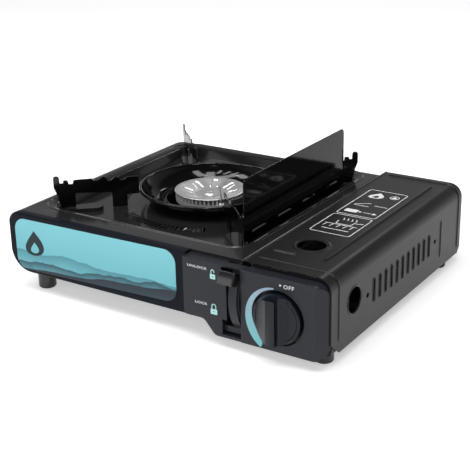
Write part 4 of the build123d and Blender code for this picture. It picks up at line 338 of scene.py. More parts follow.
# %% Plastic, rubber and ceramic
new_finish("dark_plastic", (0.019, 0.0205, 0.027), 0.36, grain=2600, relief=0.00002,
           patch=40, shift=0.05, specular=0.25)
new_finish("panel_plastic", (0.0055, 0.0075, 0.0125), 0.40, grain=2600, relief=0.00002,
           patch=40, shift=0.08, specular=0.08)
new_finish("knob_plastic", (0.004, 0.006, 0.010), 0.24, grain=2000, relief=0.00001,
           patch=60, shift=0.08, uneven=0.04, specular=0.26)
new_finish("gloss_black", (0.009, 0.009, 0.011), 0.14, grain=400, relief=0.000004, uneven=0.04)
new_finish("nylon", (0.018, 0.018, 0.018), 0.45)
new_finish("rubber", (0.005, 0.006, 0.008), 0.5, grain=1500, specular=0.12)
new_finish("lead_sleeve", (0.035, 0.035, 0.038), 0.5)
new_finish("ceramic", (0.85, 0.84, 0.80), 0.22, grain=300, relief=0.000004)
print("with moulded finishes:", len(finishes))

# %% Metals
new_finish("zinc_steel", (0.62, 0.62, 0.60), 0.34, 1.0, grain=700, stretch=(1, 12, 1),
           uneven=0.08)
new_finish("steel_pin", (0.24, 0.235, 0.23), 0.3, 1.0, uneven=0.06)
new_finish("cast_alloy", (0.78, 0.78, 0.77), 0.42, 0.55, grain=1200, relief=0.00006,
           uneven=0.08)
new_finish("cap_alloy", (0.87, 0.87, 0.87), 0.42, 1.0, patch=90, shift=0.08,
           relief=0.00004, uneven=0.08)
new_finish("brass", (0.78, 0.57, 0.26), 0.27, 1.0, grain=1100, uneven=0.06)
print("with metals:", len(finishes))

# %% [markdown]
# ### The printed front label
#
# The film on the front panel is printed with a calm scene of no place in
# particular: pale teal air above, soft rolling ridges that fade into mist, and a
# dark foreground. Each ridge is a one-dimensional noise, a skyline, compared with
# the height of the point. The print therefore follows the label's own x and z.


# %% Label print
AIR_LOW, AIR_HIGH = (0.16, 0.49, 0.56, 1), (0.25, 0.66, 0.72, 1)
RIDGES = [  # base height, rise to the right, swing, bumps per metre, mist depth, colour, start
    (0.0440, 0.02, 0.020, 15.0, 0.015, (0.095, 0.31, 0.36, 1), 3.1),
    (0.0400, 0.06, 0.014, 24.0, 0.014, (0.040, 0.095, 0.120, 1), 7.7),
    (0.0362, 0.08, 0.007, 19.0, 0.200, (0.030, 0.039, 0.051, 1), 1.3),
]


def with_ridge(tree, split, picture, ridge):
    """The picture so far with one more ridge in front of it."""
    base, rise, swing, rate, mist, colour, start = ridge
    along = maths(tree, "MULTIPLY_ADD", (split, "X"), rate, start)
    skyline = shader_node(tree, "ShaderNodeTexNoise", {"noise_dimensions": "1D"},
                          Scale=1.0, Detail=5.0, Roughness=0.42)
    edge = maths(tree, "MULTIPLY_ADD", (skyline, 0), swing, base - swing / 2)
    sloped = maths(tree, "MULTIPLY_ADD", (split, "X"), rise, (edge, 0))
    below = maths(tree, "SUBTRACT", (sloped, 0), (split, "Z"))
    crest = shader_node(tree, "ShaderNodeMapRange", From_Min=0.0, From_Max=0.0006)
    fade = shader_node(tree, "ShaderNodeMapRange", From_Min=0.0, From_Max=mist,
                       To_Min=1.0, To_Max=0.0)
    cover = maths(tree, "MULTIPLY", (crest, 0), (fade, 0))
    paint = shader_node(tree, "ShaderNodeMix", {"data_type": "RGBA"})
    paint.inputs["B"].default_value = colour
    wire(tree, (along, 0, skyline, "W"), (below, 0, crest, "Value"), (below, 0, fade, "Value"),
         (cover, 0, paint, "Factor"))
    tree.links.new(picture, paint.inputs["A"])
    return paint.outputs["Result"]


def printed_label():
    finish, tree, shader, place = new_material("label_print", 0.2)
    split = shader_node(tree, "ShaderNodeSeparateXYZ")
    air = shader_node(tree, "ShaderNodeMapRange", From_Min=0.020, From_Max=0.074)
    ramp = shader_node(tree, "ShaderNodeValToRGB")
    ramp.color_ramp.elements[0].color = AIR_LOW
    ramp.color_ramp.elements[1].color = AIR_HIGH
    wire(tree, (place, "Object", split, 0), (split, "Z", air, "Value"), (air, 0, ramp, 0))
    uneven_sheen(tree, place, shader, 60.0, 0.30, 0.38)
    picture = ramp.outputs["Color"]
    for ridge in RIDGES:
        picture = with_ridge(tree, split, picture, ridge)
    tree.links.new(picture, shader.inputs["Base Color"])
    return finish


finishes["label_print"] = printed_label()
print("label print:", len(RIDGES), "ridges")

# %% [markdown]
# ### Finishes onto the CAD pieces
#
# The record says which slot each piece takes its finish from, so one loop dresses
# all of them, also the ones inside that show only through a slot or with the lid
# open.

# %% Dress the CAD nodes
slot_of = {part["node"]: part["material_slot"] for part in frame["record"]["subparts"]}
for name, piece in nodes.items():
    piece.data.materials.clear()
    piece.data.materials.append(finishes[slot_of[name]])
print("dressed", len(nodes), "nodes")

# %% [markdown]
# ## Soft edges on moulded and pressed pieces
#
# No moulded or pressed edge is a knife edge: each catches a thin line of light,
# and without that line a black object looks like a paper cut-out. A bevel on a
# merged copy of the CAD mesh gives it. The copy stands for the node, which stays
# in the frame for collision.


# %% Softened copies
MERGE = 0.000001
FLAT_ANGLE, SHARP_ANGLE = 0.6, 35


def place_piece(name, mesh, body, slot_name, replaced=(), finish=None):
    piece = put(name, mesh)
    mesh.materials.clear()
    mesh.materials.append(finishes[finish or slot_name])
    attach(piece, body)
    if replaced:
        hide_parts(*replaced)


def shade_smooth(mesh):
    mesh.polygons.foreach_set("use_smooth", [True] * len(mesh.polygons))


def mesh_from(build, name, smooth=True):
    """The mesh of a bmesh, which is let go."""
    mesh = bpy.data.meshes.new(name)
    build.to_mesh(mesh)
    build.free()
    if smooth:
        shade_smooth(mesh)
    return mesh


def plain_mesh(source):
    """The finished mesh of an object with modifiers, free of the object."""
    graph = bpy.context.evaluated_depsgraph_get()
    mesh = bpy.data.meshes.new_from_object(source.evaluated_get(graph))
    bpy.data.objects.remove(source)
    return mesh


def bevelled(mesh, width):
    """The mesh with its weighted edges rounded, and shaded as smooth sheet."""
    for layer in ("custom_normal", "sharp_face", "sharp_edge"):
        if layer in mesh.attributes:
            mesh.attributes.remove(mesh.attributes[layer])
    shade_smooth(mesh)
    maker = put("bevel_maker", mesh)
    edge = maker.modifiers.new("edge", "BEVEL")
    edge.width, edge.segments = width, 2
    edge.limit_method = "WEIGHT"
    edge.harden_normals = True
    flat = maker.modifiers.new("flat", "WEIGHTED_NORMAL")
    flat.keep_sharp = False
    return plain_mesh(maker)


def middle_of(line):
    return (line.verts[0].co + line.verts[1].co) / 2


def softened(node, width, share=None, cuts=(), pressed=None, kept=None, sharp=SHARP_ANGLE,
             finish=None):
    """A rounded copy of a node; share(edge middle) gives an edge's part of the width."""
    mesh = nodes[node].data.copy()
    build = bmesh.new()
    build.from_mesh(mesh)
    bmesh.ops.remove_doubles(build, verts=build.verts, dist=MERGE)
    bmesh.ops.dissolve_limit(
        build, angle_limit=radians(FLAT_ANGLE),
        verts=[vert for vert in build.verts if not (kept and kept(vert.co))],
        edges=[line for line in build.edges if not (kept and kept(middle_of(line)))])
    for x in cuts:
        bmesh.ops.bisect_plane(build, geom=build.verts[:] + build.edges[:] + build.faces[:],
                               dist=MERGE, plane_co=at(x, 0, 0), plane_no=(1, 0, 0))
    if pressed:
        for vert in build.verts:
            vert.co = pressed(vert.co)
        bmesh.ops.remove_doubles(build, verts=build.verts, dist=MERGE)
    weight = build.edges.layers.float.new("bevel_weight_edge")
    for line in build.edges:
        if line.is_manifold and line.calc_face_angle(0) > radians(sharp):
            line[weight] = share(middle_of(line)) if share else 1.0
    build.to_mesh(mesh)
    build.free()
    soft = bevelled(mesh, width)
    place_piece(node + "_soft", soft, nodes[node]["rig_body"], slot_of[node], [node], finish)
    print(node, "softened:", len(soft.polygons), "faces")


for node, width, finish in (("control_housing", 0.0006, None),
                            ("front_panel", 0.0003, "panel_plastic"),
                            ("knob", 0.0012, "knob_plastic"),
                            ("lock_lever", 0.0006, "gloss_black"),
                            ("bottom_case", 0.00022, None),
                            ("wind_shield", 0.00025, "shield_enamel")):
    softened(node, width, finish=finish)

# %% [markdown]
# ### The top plate and the slope round its tray
#
# The plate dips to the tray in two stages: first a gentle slope, then a steeper
# wall. The CAD plate has a flat shelf where the slope is, one step below the top.
# Bending the shelf is enough: its outer edge goes up to the plate's face, its inner
# edge goes down, and every point between them follows its distance from the tray.
# The shelf keeps its triangles for that, because they already join edge to edge.

# %% Top plate
TRAY_HALF_X, TRAY_HALF_Y, TRAY_RADIUS = 107.5, 113.5, 16.0
PLATE_TOP, SHELF_TOP, SHELF_WIDTH, SHEET = 78.2, 77.0, 7.0, 0.8
SLOPE_FOOT = 76.0
PLATE_RIGHT, PLATE_TURN = 257.5, 2.0
NEAR = 0.05
UPPER_EDGES = 0.073


def out_of_tray(x, y):
    """How far a point stands outside the tray's upper outline, less than 0 inside it."""
    across = abs(x - BURNER_X) - TRAY_HALF_X + TRAY_RADIUS
    along = abs(y - BURNER_Y) - TRAY_HALF_Y + TRAY_RADIUS
    return hypot(max(across, 0), max(along, 0)) + min(max(across, along), 0) - TRAY_RADIUS


def on_shelf(point):
    z = point.z * 1000
    return SHELF_TOP - SHEET - NEAR < z < SHELF_TOP + NEAR


def sloped_shelf(point):
    x, y, z = drawn(point)
    under = abs(z - SHELF_TOP + SHEET) < NEAR
    out = out_of_tray(x, y) - (SHEET if under else 0)
    if not (under or abs(z - SHELF_TOP) < NEAR) or not -0.1 < out < SHELF_WIDTH + 0.1:
        return point
    share = min(1.0, max(0.0, out / SHELF_WIDTH))
    return at(x, y, z + SLOPE_FOOT - SHELF_TOP + (PLATE_TOP - SLOPE_FOOT) * share)


def pressed_plate(point):
    """The sloped shelf, and the plate's right edge turned down beside the lid."""
    x, y, z = drawn(point)
    run = x - (PLATE_RIGHT - PLATE_TURN)
    if run > 0 and z > PLATE_TOP - SHEET - NEAR:
        drop = PLATE_TURN - (PLATE_TURN ** 2 - min(run, PLATE_TURN) ** 2) ** 0.5
        return point - Vector((0, 0, drop / 1000))
    return sloped_shelf(point)


def rim_share(middle):
    """The plate's upper edges are drawn round a bigger radius than its cut edges."""
    return 1.0 if middle.z > UPPER_EDGES else 0.25


softened("top_plate", 0.0011, share=rim_share, pressed=pressed_plate, kept=on_shelf,
         cuts=[PLATE_RIGHT - PLATE_TURN * part for part in (1.0, 0.6, 0.3, 0.12)],
         sharp=25, finish="enamelled_plate")

# %% [markdown]
# ### The lid, pressed a little flatter
#
# The CAD lid carries its beads as crisp ridges, which is right for a drawing but
# not for pressed sheet. Here every point that stands proud of the sheet is drawn
# in by half, so that the soft beads made further down can cover them. The upper
# face is rounded off along the lid's left edge, beside the top plate: a few cuts
# along it give the sheet the points that it needs to bend there. The lower face
# stays, because it passes close by the hinge brackets as the lid opens.

# %% Lid
WIDTH, LID_RADIUS, LID_LEFT = 342.0, 13.0, 258.6
EDGE_ROOM, EDGE_DROP = 1.8, 0.6


def drawn_in(point):
    x, y, z = drawn(point)
    bend_x, bend_z = WIDTH - LID_RADIUS, LID_TOP - LID_RADIUS
    if x > bend_x and z > bend_z:
        out = hypot(x - bend_x, z - bend_z)
        if out > LID_RADIUS:
            scale = (LID_RADIUS + out) / 2 / out
            x, z = bend_x + (x - bend_x) * scale, bend_z + (z - bend_z) * scale
    elif x > WIDTH:
        x = (WIDTH + x) / 2
    elif z > LID_TOP:
        z = (LID_TOP + z) / 2
    if x < LID_LEFT + EDGE_ROOM and z > LID_TOP - 0.1:
        run = min(1.0, (LID_LEFT + EDGE_ROOM - x) / EDGE_ROOM)
        z -= EDGE_DROP * (1 - (1 - run ** 2) ** 0.5)
    return at(x, y, z)


bend_lines = [LID_LEFT + EDGE_ROOM * step for step in (0.15, 0.35, 0.6, 1.0)]
softened("lid", 0.00022, cuts=bend_lines, pressed=drawn_in, finish="painted_lid")

# %% [markdown]
# ## The burner cap
#
# The cap is cast light alloy: a shallow dish with a flat rim, a well with a
# button in its middle, and eight raised arches on the slope. Heights like these
# follow a rule of radius and angle, so a fine polar grid is lifted point by point.
# A second, plain grid below closes it to a plate of even thickness.

# %% Burner cap
RINGS, SPOKES = 96, 320
CAP_RADIUS, CAP_TOP, CAP_WALL = 34.8, 79.2, 1.0
RIM_WIDTH, DISH_DEPTH, WELL_RADIUS = 3.4, 5.4, 14.0
BUTTON_HEIGHT, DIMPLE_DEPTH, EDGE_FALL = 1.2, 0.5, 0.5
ARCHES, ARCH_FOOT, ARCH_BEND, ARCH_HALF = 8, 17.2, 25.6, 3.3
ARCH_PROUD, ARCH_SUNK = 0.55, 0.25


def ease(value, start, end):
    t = min(1.0, max(0.0, (value - start) / (end - start)))
    return t * t * (3 - 2 * t)


def dish_height(radius):
    """Height of the plain dish, from the well up its slope to the rim."""
    slope = (radius - WELL_RADIUS) / (CAP_RADIUS - RIM_WIDTH - WELL_RADIUS)
    return CAP_TOP - DISH_DEPTH * (1 - min(1.0, max(0.0, slope)))


def cap_height(radius, angle):
    """Height of the cap's face, with its button and its arches."""
    height = dish_height(radius) - EDGE_FALL * ease(radius, CAP_RADIUS - 1.6, CAP_RADIUS)
    height += BUTTON_HEIGHT * (1 - ease(radius, 5.6, 6.8))
    height -= DIMPLE_DEPTH * (1 - ease(radius, 2.2, 3.4))
    step = 2 * pi / ARCHES
    side = (angle / step - round(angle / step - 0.5) - 0.5) * step
    across, along = radius * sin(side), radius * cos(side)
    from_line = hypot(across, max(0, along - ARCH_BEND)) - ARCH_HALF
    if along > ARCH_FOOT:
        height += ARCH_PROUD * (1 - ease(abs(from_line), 0.3, 1.1))
        if from_line < -0.35:
            height -= ARCH_SUNK * ease(-from_line, 0.35, 1.3)
    return height


def cap_layer(build, height):
    """Rings of points from the middle out, at height(radius, angle)."""
    rings = [[build.verts.new(at(BURNER_X, BURNER_Y, height(0, 0)))]]
    for ring in range(1, RINGS + 1):
        radius = CAP_RADIUS * ring / RINGS
        rings.append([])
        for spoke in range(SPOKES):
            angle = 2 * pi * spoke / SPOKES
            rings[-1].append(build.verts.new(at(BURNER_X + radius * cos(angle),
                                                BURNER_Y + radius * sin(angle),
                                                height(radius, angle))))
    return rings


def cap_underside(radius, angle):
    return dish_height(radius) - CAP_WALL if radius else cap_height(0, 0) - CAP_WALL


def cap_plate():
    build = bmesh.new()
    face, under = cap_layer(build, cap_height), cap_layer(build, cap_underside)
    for spoke in range(SPOKES):
        after = (spoke + 1) % SPOKES
        for rings in (face, under):
            build.faces.new((rings[0][0], rings[1][spoke], rings[1][after]))
            for inner, outer in zip(rings[1:], rings[2:]):
                build.faces.new((inner[spoke], outer[spoke], outer[after], inner[after]))
        build.faces.new((face[-1][spoke], under[-1][spoke], under[-1][after], face[-1][after]))
    bmesh.ops.recalc_face_normals(build, faces=build.faces)
    return mesh_from(build, "cast_cap")


cap_mesh = cap_plate()
place_piece("cast_cap", cap_mesh, "base", "cap_alloy", ["burner_cap"])
print("cap:", len(cap_mesh.polygons), "faces,", ARCHES, "arches")

# %% [markdown]
# ## The drip bowl
#
# The bowl is spun from a disc over a form: a flat floor with a turned-up lip at
# the hole, a flank that swells a little, and a rim rolled into a bead. A profile
# of points turned round the burner's axis is the same process, and gives the
# evenly curved flank that carries the long reflections.

# %% Drip bowl
FLOOR_Z, RIM_R, RIM_TOP, ROLL = 68.3, 69.6, 84.0, 1.6
HOLE_R, FLOOR_R, BOWL_WALL, LIP_TOP = 46.6, 55.0, 0.8, 71.3
FLANK_STEPS, FLANK_SWELL = 14, 1.5


def turned_mesh(name, profile, turns=160):
    """A closed profile of (radius, height) turned round the burner's axis."""
    build = bmesh.new()
    rows = [[build.verts.new(at(BURNER_X + r * cos(2 * pi * k / turns),
                                BURNER_Y + r * sin(2 * pi * k / turns), z))
             for r, z in profile] for k in range(turns)]
    count = len(profile)
    for k in range(turns):
        here, after = rows[k], rows[(k + 1) % turns]
        for i in range(count):
            j = (i + 1) % count
            build.faces.new((here[i], after[i], after[j], here[j]))
    bmesh.ops.recalc_face_normals(build, faces=build.faces)
    return mesh_from(build, name)


def bowl_profile():
    roll_r, roll_z = RIM_R - ROLL, RIM_TOP - ROLL
    flank = []
    for step in range(FLANK_STEPS + 1):
        t = step / FLANK_STEPS
        swell = FLANK_SWELL * sin(pi * t)
        flank.append((FLOOR_R + (roll_r - 1.3 - FLOOR_R) * t + 0.7 * swell,
                      FLOOR_Z + 0.2 + (roll_z - 0.9 - FLOOR_Z) * t - 0.7 * swell))
    outside = [(HOLE_R, LIP_TOP), (HOLE_R, FLOOR_Z + 0.5), (HOLE_R + 0.5, FLOOR_Z),
               (FLOOR_R - 1.2, FLOOR_Z)] + flank
    roll = [(roll_r + ROLL * cos(radians(a)), roll_z + ROLL * sin(radians(a)))
            for a in range(-120, 171, 15)]
    inside = [(r - BOWL_WALL * 0.75, z + BOWL_WALL * 0.75) for r, z in reversed(flank)]
    inner_r, inner_z = HOLE_R + BOWL_WALL, FLOOR_Z + BOWL_WALL
    floor = [(FLOOR_R - 2.0, inner_z), (inner_r + 0.6, inner_z), (inner_r, inner_z + 0.6),
             (inner_r, LIP_TOP)]
    return outside + roll + inside + floor


bowl_mesh = turned_mesh("spun_bowl", bowl_profile())
place_piece("spun_bowl", bowl_mesh, "pan_support", "black_enamel", ["drip_bowl"])
print("bowl:", len(bowl_mesh.polygons), "faces")

# %% [markdown]
# ## Beads pressed in the lid
#
# Long beads stiffen the thin lid. The press leaves them with no edge at all: the
# sheet swells up and comes down again. So each bead is a band with the height of
# a soft wave across it, swept along its path, and drawn in to nothing at its
# ends. The path runs on the flat top, or over the top and down the side. A small
# Geometry Nodes tree makes the sweep from any such path, with the bead's width
# and height as named inputs.


# %% Helpers for Geometry Nodes
def new_tree(name, inputs):
    tree = bpy.data.node_groups.new(name, "GeometryNodeTree")
    tree.interface.new_socket("Geometry", in_out="INPUT", socket_type="NodeSocketGeometry")
    for label, kind, value in inputs:
        socket = tree.interface.new_socket(label, in_out="INPUT", socket_type=kind)
        if value is not None:
            socket.default_value = value
    tree.interface.new_socket("Geometry", in_out="OUTPUT", socket_type="NodeSocketGeometry")
    return tree, tree.nodes.new("NodeGroupInput"), tree.nodes.new("NodeGroupOutput")


def geometry_node(tree, kind, settings=(), values=(), feeds=()):
    """A node with its settings, fixed values, and (input, source node, output) feeds."""
    made = tree.nodes.new(kind)
    for key, value in dict(settings).items():
        setattr(made, key, value)
    for key, value in dict(values).items():
        made.inputs[key].default_value = value
    for key, source, output in feeds:
        tree.links.new(source.outputs[output], made.inputs[key])
    return made


def run_tree(start, tree, **values):
    """Run a tree on an object and return the plain mesh that comes out."""
    grown = start.modifiers.new(tree.name, "NODES")
    grown.node_group = tree
    for item in tree.interface.items_tree:
        key = item.name.lower().replace(" ", "_")
        if item.in_out == "INPUT" and key in values:
            grown[item.identifier] = values[key]
    mesh = plain_mesh(start)
    shade_smooth(mesh)
    return mesh


def end_tree(tree, source, output, given, result):
    """Every tree ends alike: real geometry, in the finish that was given."""
    plain = geometry_node(tree, "GeometryNodeRealizeInstances", (), (),
                          [("Geometry", source, output)])
    dressed = geometry_node(tree, "GeometryNodeSetMaterial", (), (),
                            [("Geometry", plain, "Geometry"), ("Material", given, "Finish")])
    wire(tree, (dressed, "Geometry", result, "Geometry"))
    return tree


print("geometry helpers ready")


# %% The bead tree
def bead_tree():
    tree, given, result = new_tree("pressed_bead", [
        ("Width", "NodeSocketFloat", 0.005), ("Height", "NodeSocketFloat", 0.0009),
        ("Sideways", "NodeSocketVector", (0, 1, 0)), ("Finish", "NodeSocketMaterial", None)])
    fine = geometry_node(tree, "GeometryNodeResampleCurve", {"mode": "LENGTH"},
                         {"Length": 0.0007}, [("Curve", given, "Geometry")])
    level = geometry_node(tree, "GeometryNodeSetCurveNormal", {"mode": "FREE"}, (),
                          [("Curve", fine, "Curve"), ("Normal", given, "Sideways")])
    along = tree.nodes.new("GeometryNodeSplineParameter")
    whole = tree.nodes.new("GeometryNodeSplineLength")
    left = maths(tree, "SUBTRACT", (whole, "Length"), (along, "Length"))
    nearest = maths(tree, "MINIMUM", (along, "Length"), (left, 0))
    share = maths(tree, "DIVIDE", (nearest, 0), (given, "Width"), clamp=True)
    missing = maths(tree, "SUBTRACT", 1.0, (share, 0))
    square = maths(tree, "MULTIPLY", (missing, 0), (missing, 0))
    rest = maths(tree, "SUBTRACT", 1.02, (square, 0))
    taper = maths(tree, "SQRT", (rest, 0))
    line = geometry_node(tree, "GeometryNodeCurvePrimitiveLine", (),
                         {"Start": (0.5, 0, 0), "End": (-0.5, 0, 0)})
    points = geometry_node(tree, "GeometryNodeResampleCurve", {"mode": "COUNT"},
                           {"Count": 15}, [("Curve", line, "Curve")])
    where = tree.nodes.new("GeometryNodeInputPosition")
    parts = geometry_node(tree, "ShaderNodeSeparateXYZ", (), (), [(0, where, "Position")])
    size = maths(tree, "ABSOLUTE", (parts, "X"))
    lift = geometry_node(tree, "ShaderNodeMapRange", {"interpolation_type": "SMOOTHSTEP"},
                         {"From Min": 0.5, "From Max": 0.12, "To Min": -0.05, "To Max": 0.98},
                         [("Value", size, 0)])
    tall = maths(tree, "MULTIPLY", (lift, "Result"), (given, "Height"))
    wide = maths(tree, "MULTIPLY", (parts, "X"), (given, "Width"))
    spot = geometry_node(tree, "ShaderNodeCombineXYZ", (), (), [("X", wide, 0), ("Y", tall, 0)])
    profile = geometry_node(tree, "GeometryNodeSetPosition", (), (),
                            [("Geometry", points, "Curve"), ("Position", spot, "Vector")])
    swept = geometry_node(tree, "GeometryNodeCurveToMesh", (), (),
                          [("Curve", level, "Curve"), ("Profile Curve", profile, "Geometry"),
                           ("Scale", taper, 0)])
    return end_tree(tree, swept, "Mesh", given, result)


pressed_bead = bead_tree()
print("bead tree:", len(pressed_bead.nodes), "nodes")


# %% Bead paths on the lid
def path_object(name, points):
    curve = bpy.data.curves.new(name, "CURVE")
    curve.dimensions = "3D"
    spline = curve.splines.new("POLY")
    spline.points.add(len(points) - 1)
    for point, place in zip(spline.points, points):
        point.co = (*at(*place), 1)
    return put(name, curve)


def over_the_lid(y, left, low):
    """From a point on the lid's top, over its rounding and down its side."""
    bend = [(WIDTH - LID_RADIUS + LID_RADIUS * sin(radians(a)), y,
             LID_TOP - LID_RADIUS + LID_RADIUS * cos(radians(a))) for a in range(0, 91, 5)]
    return [(left, y, LID_TOP)] + bend + [(WIDTH, y, low)]


def bead(points, width, height, sideways, finish="painted_plate"):
    return run_tree(path_object("bead_path", points), pressed_bead, width=width / 1000,
                    height=height / 1000, sideways=sideways, finish=finishes[finish])


def joined(meshes, name):
    build = bmesh.new()
    for mesh in meshes:
        build.from_mesh(mesh)
    return mesh_from(build, name)


ALONG_X, ALONG_Y = (0, 1, 0), (1, 0, 0)
beads = [  # path, width, height, sideways
    bead(over_the_lid(17.5, 266.0, 20.5), 4.6, 0.9, ALONG_X),
    bead(over_the_lid(266.0, 266.0, 16.5), 4.6, 0.9, ALONG_X),
    bead([(318.5, 253.5, LID_TOP), (318.5, 33.5, LID_TOP)], 5.6, 1.6, ALONG_Y),
    bead([(268.0, 36.0, LID_TOP), (291.9, 36.0, LID_TOP)], 5.2, 1.5, ALONG_X),
    bead([(WIDTH, 224.0, 59.0), (WIDTH, 224.0, 21.0)], 4.6, 0.9, ALONG_X),
]
place_piece("lid_beads", joined(beads, "lid_beads"), "lid", "painted_plate")
print("lid beads:", len(beads))

# %% [markdown]
# ### The hem along the joint
#
# The lid's left edge lies beside the top plate and is folded over, so that it is
# stiff and nobody is cut by it. From above the fold is one thin bright line. It is
# as much a soft ridge along a path as a bead is, only narrower and lower, so the
# same tree makes it.

# %% Hem
HEM_X, HEM_FRONT, HEM_BACK = 260.6, 4.4, 274.0
hem = bead([(HEM_X, HEM_BACK, LID_TOP), (HEM_X, HEM_FRONT, LID_TOP)], 1.8, 0.6, ALONG_Y,
           "enamelled_plate")
place_piece("lid_hem", hem, "lid", "painted_plate", finish="enamelled_plate")
print("hem:", round(HEM_BACK - HEM_FRONT, 1), "mm long")

# %% [markdown]
# ### Rolled lips round the lid's holes
#
# The finger hole, the round side hole and the row of slots have their rims drawn
# into the sheet, so that nobody cuts a finger. Such a lip is a narrow wave that
# runs round a closed, flat path, and a few lines of mesh code make it. For the
# eleven slots one lip is made, and a small tree sets it along a line, as often as
# the slot is punched.


# %% The row tree
def row_tree():
    tree, given, result = new_tree("row_of_lips", [
        ("Count", "NodeSocketInt", 11), ("Step", "NodeSocketVector", (0, 0.0115, 0)),
        ("Finish", "NodeSocketMaterial", None)])
    places = geometry_node(tree, "GeometryNodeMeshLine", {"mode": "OFFSET"}, (),
                           [("Count", given, "Count"), ("Offset", given, "Step")])
    copies = geometry_node(tree, "GeometryNodeInstanceOnPoints", (), (),
                           [("Points", places, "Mesh"), ("Instance", given, "Geometry")])
    return end_tree(tree, copies, "Instances", given, result)


row_of_lips = row_tree()
print("row tree:", len(row_of_lips.nodes), "nodes")


# %% A rolled lip
LIP_BANDS = 8
OUTWARD = ((1, 0, 0), (0, -1, 0), (0, 0, 1))


def lip(points, width, height):
    """A closed wave along a ring that is flat in x, y or z, standing off that plane."""
    count = len(points)
    centre = sum((Vector(point) for point in points), Vector()) / count
    flat = [abs(points[0][axis] - points[count // 3][axis]) < MERGE for axis in range(3)]
    outward = Vector(OUTWARD[flat.index(True)])
    build = bmesh.new()
    rows = []
    for k in range(count):
        here = Vector(points[k])
        tangent = (Vector(points[(k + 1) % count]) - Vector(points[k - 1])).normalized()
        side = tangent.cross(outward).normalized()
        if side.dot(here - centre) < 0:
            side.negate()
        rows.append([])
        for band in range(LIP_BANDS + 1):
            share = band / LIP_BANDS - 0.5
            rise = height * (0.5 * cos(2 * pi * share) + 0.48)
            rows[-1].append(build.verts.new(at(*(here + side * share * width + outward * rise))))
    for row, after in zip(rows, rows[1:] + rows[:1]):
        for i in range(LIP_BANDS):
            build.faces.new((row[i], after[i], after[i + 1], row[i + 1]))
    bmesh.ops.recalc_face_normals(build, faces=build.faces)
    if sum(face.normal.dot(outward) for face in build.faces) < 0:
        bmesh.ops.reverse_faces(build, faces=build.faces)
    return mesh_from(build, "lip")


print("a lip is", LIP_BANDS, "bands wide")


# %% Lips on the lid
SLOTS, FIRST_SLOT, LAST_SLOT = 11, 81.1, 196.1
SLOT_LOW, SLOT_HIGH, SLOT_RADIUS = 30.9, 53.7, 2.6
SLOT_STEP = (LAST_SLOT - FIRST_SLOT) / (SLOTS - 1)


def disc(x, y, radius, turns=28):
    return [(x + radius * cos(2 * pi * k / turns), y + radius * sin(2 * pi * k / turns))
            for k in range(turns)]


def slot_path(y, low, high, radius, bend=12):
    """Round a standing slot on the lid's side."""
    turn = [pi * k / bend for k in range(bend + 1)]
    upper = [(WIDTH, y + radius * cos(a), high - radius + radius * sin(a)) for a in turn]
    lower = [(WIDTH, y - radius * cos(a), low + radius - radius * sin(a)) for a in turn]
    return upper + lower


first_slot = put("slot_lip", lip(slot_path(FIRST_SLOT, SLOT_LOW, SLOT_HIGH, SLOT_RADIUS),
                                 1.5, 0.42))
slot_lips = run_tree(first_slot, row_of_lips, count=SLOTS, step=(0, SLOT_STEP / 1000, 0),
                     finish=finishes["painted_plate"])
finger_lip = lip([(x, y, LID_TOP) for x, y in disc(292.9, 60.2, 14.9, 72)], 4.6, 0.86)
window_lip = lip([(WIDTH, y, z) for y, z in disc(44.4, 47.3, 12.5, 72)], 2.2, 0.5)
place_piece("lid_lips", joined([slot_lips, finger_lip, window_lip], "lid_lips"), "lid",
            "painted_plate")
print("lips on the lid:", SLOTS + 2)

# %% [markdown]
# ### Lips round the tray
#
# The press leaves a fine crest where the top plate turns down into the tray, and a
# second one where the slope meets the steep wall. Enamel gathers there and each
# crest draws a light line all round. Both are lips too, along a rectangle with
# round corners at the height of the sheet.


# %% Tray lips
def rounded(left, right, low, high, radius, bend=6):
    """A rectangle with round corners."""
    centres = ((right - radius, high - radius), (left + radius, high - radius),
               (left + radius, low + radius), (right - radius, low + radius))
    return [(x + radius * cos(pi / 2 * (corner + k / bend)),
             y + radius * sin(pi / 2 * (corner + k / bend)))
            for corner, (x, y) in enumerate(centres) for k in range(bend + 1)]


def tray_lip(out, z):
    half_x, half_y = TRAY_HALF_X + out, TRAY_HALF_Y + out
    path = rounded(BURNER_X - half_x, BURNER_X + half_x, BURNER_Y - half_y, BURNER_Y + half_y,
                   TRAY_RADIUS + out, 14)
    return lip([(x, y, z) for x, y in path], 1.7, 0.5)


tray_lips = [tray_lip(SHELF_WIDTH + 0.9, PLATE_TOP - 0.05), tray_lip(0.9, SLOPE_FOOT + 0.25)]
place_piece("tray_lips", joined(tray_lips, "tray_lips"), "base", "painted_plate",
            finish="enamelled_plate")
print("tray lips:", len(tray_lips))

# %% [markdown]
# ### The ring on the knob
#
# A moulded knob has a fine raised ring near its edge, which gives the fingers a
# hold and hides the line where the mould's halves meet. It is a lip on a circle
# that stands upright, in the plane of the knob's face.

# %% Knob ring
KNOB_FACE, RING_RADIUS = -10.1, 19.9
knob_ring = lip([(x, KNOB_FACE, z) for x, z in disc(KNOB_X, KNOB_Z, RING_RADIUS, 96)], 1.6, 0.45)
place_piece("knob_ring", knob_ring, "knob", "dark_plastic", finish="knob_plastic")
print("knob ring:", len(knob_ring.polygons), "faces")

# %% [markdown]
# ## Printing on the controls
#
# The housing is printed in two inks after it is moulded: white for the words and
# for the dot at the knob's off position, pale teal for the padlocks beside the
# lever and for the flame scale round the knob. Ink is a film a few hundredths of a
# millimetre thick. So each mark is a flat, filled curve, a hair in front of the
# face that carries it, turned into a mesh. It stays sharp at any distance.


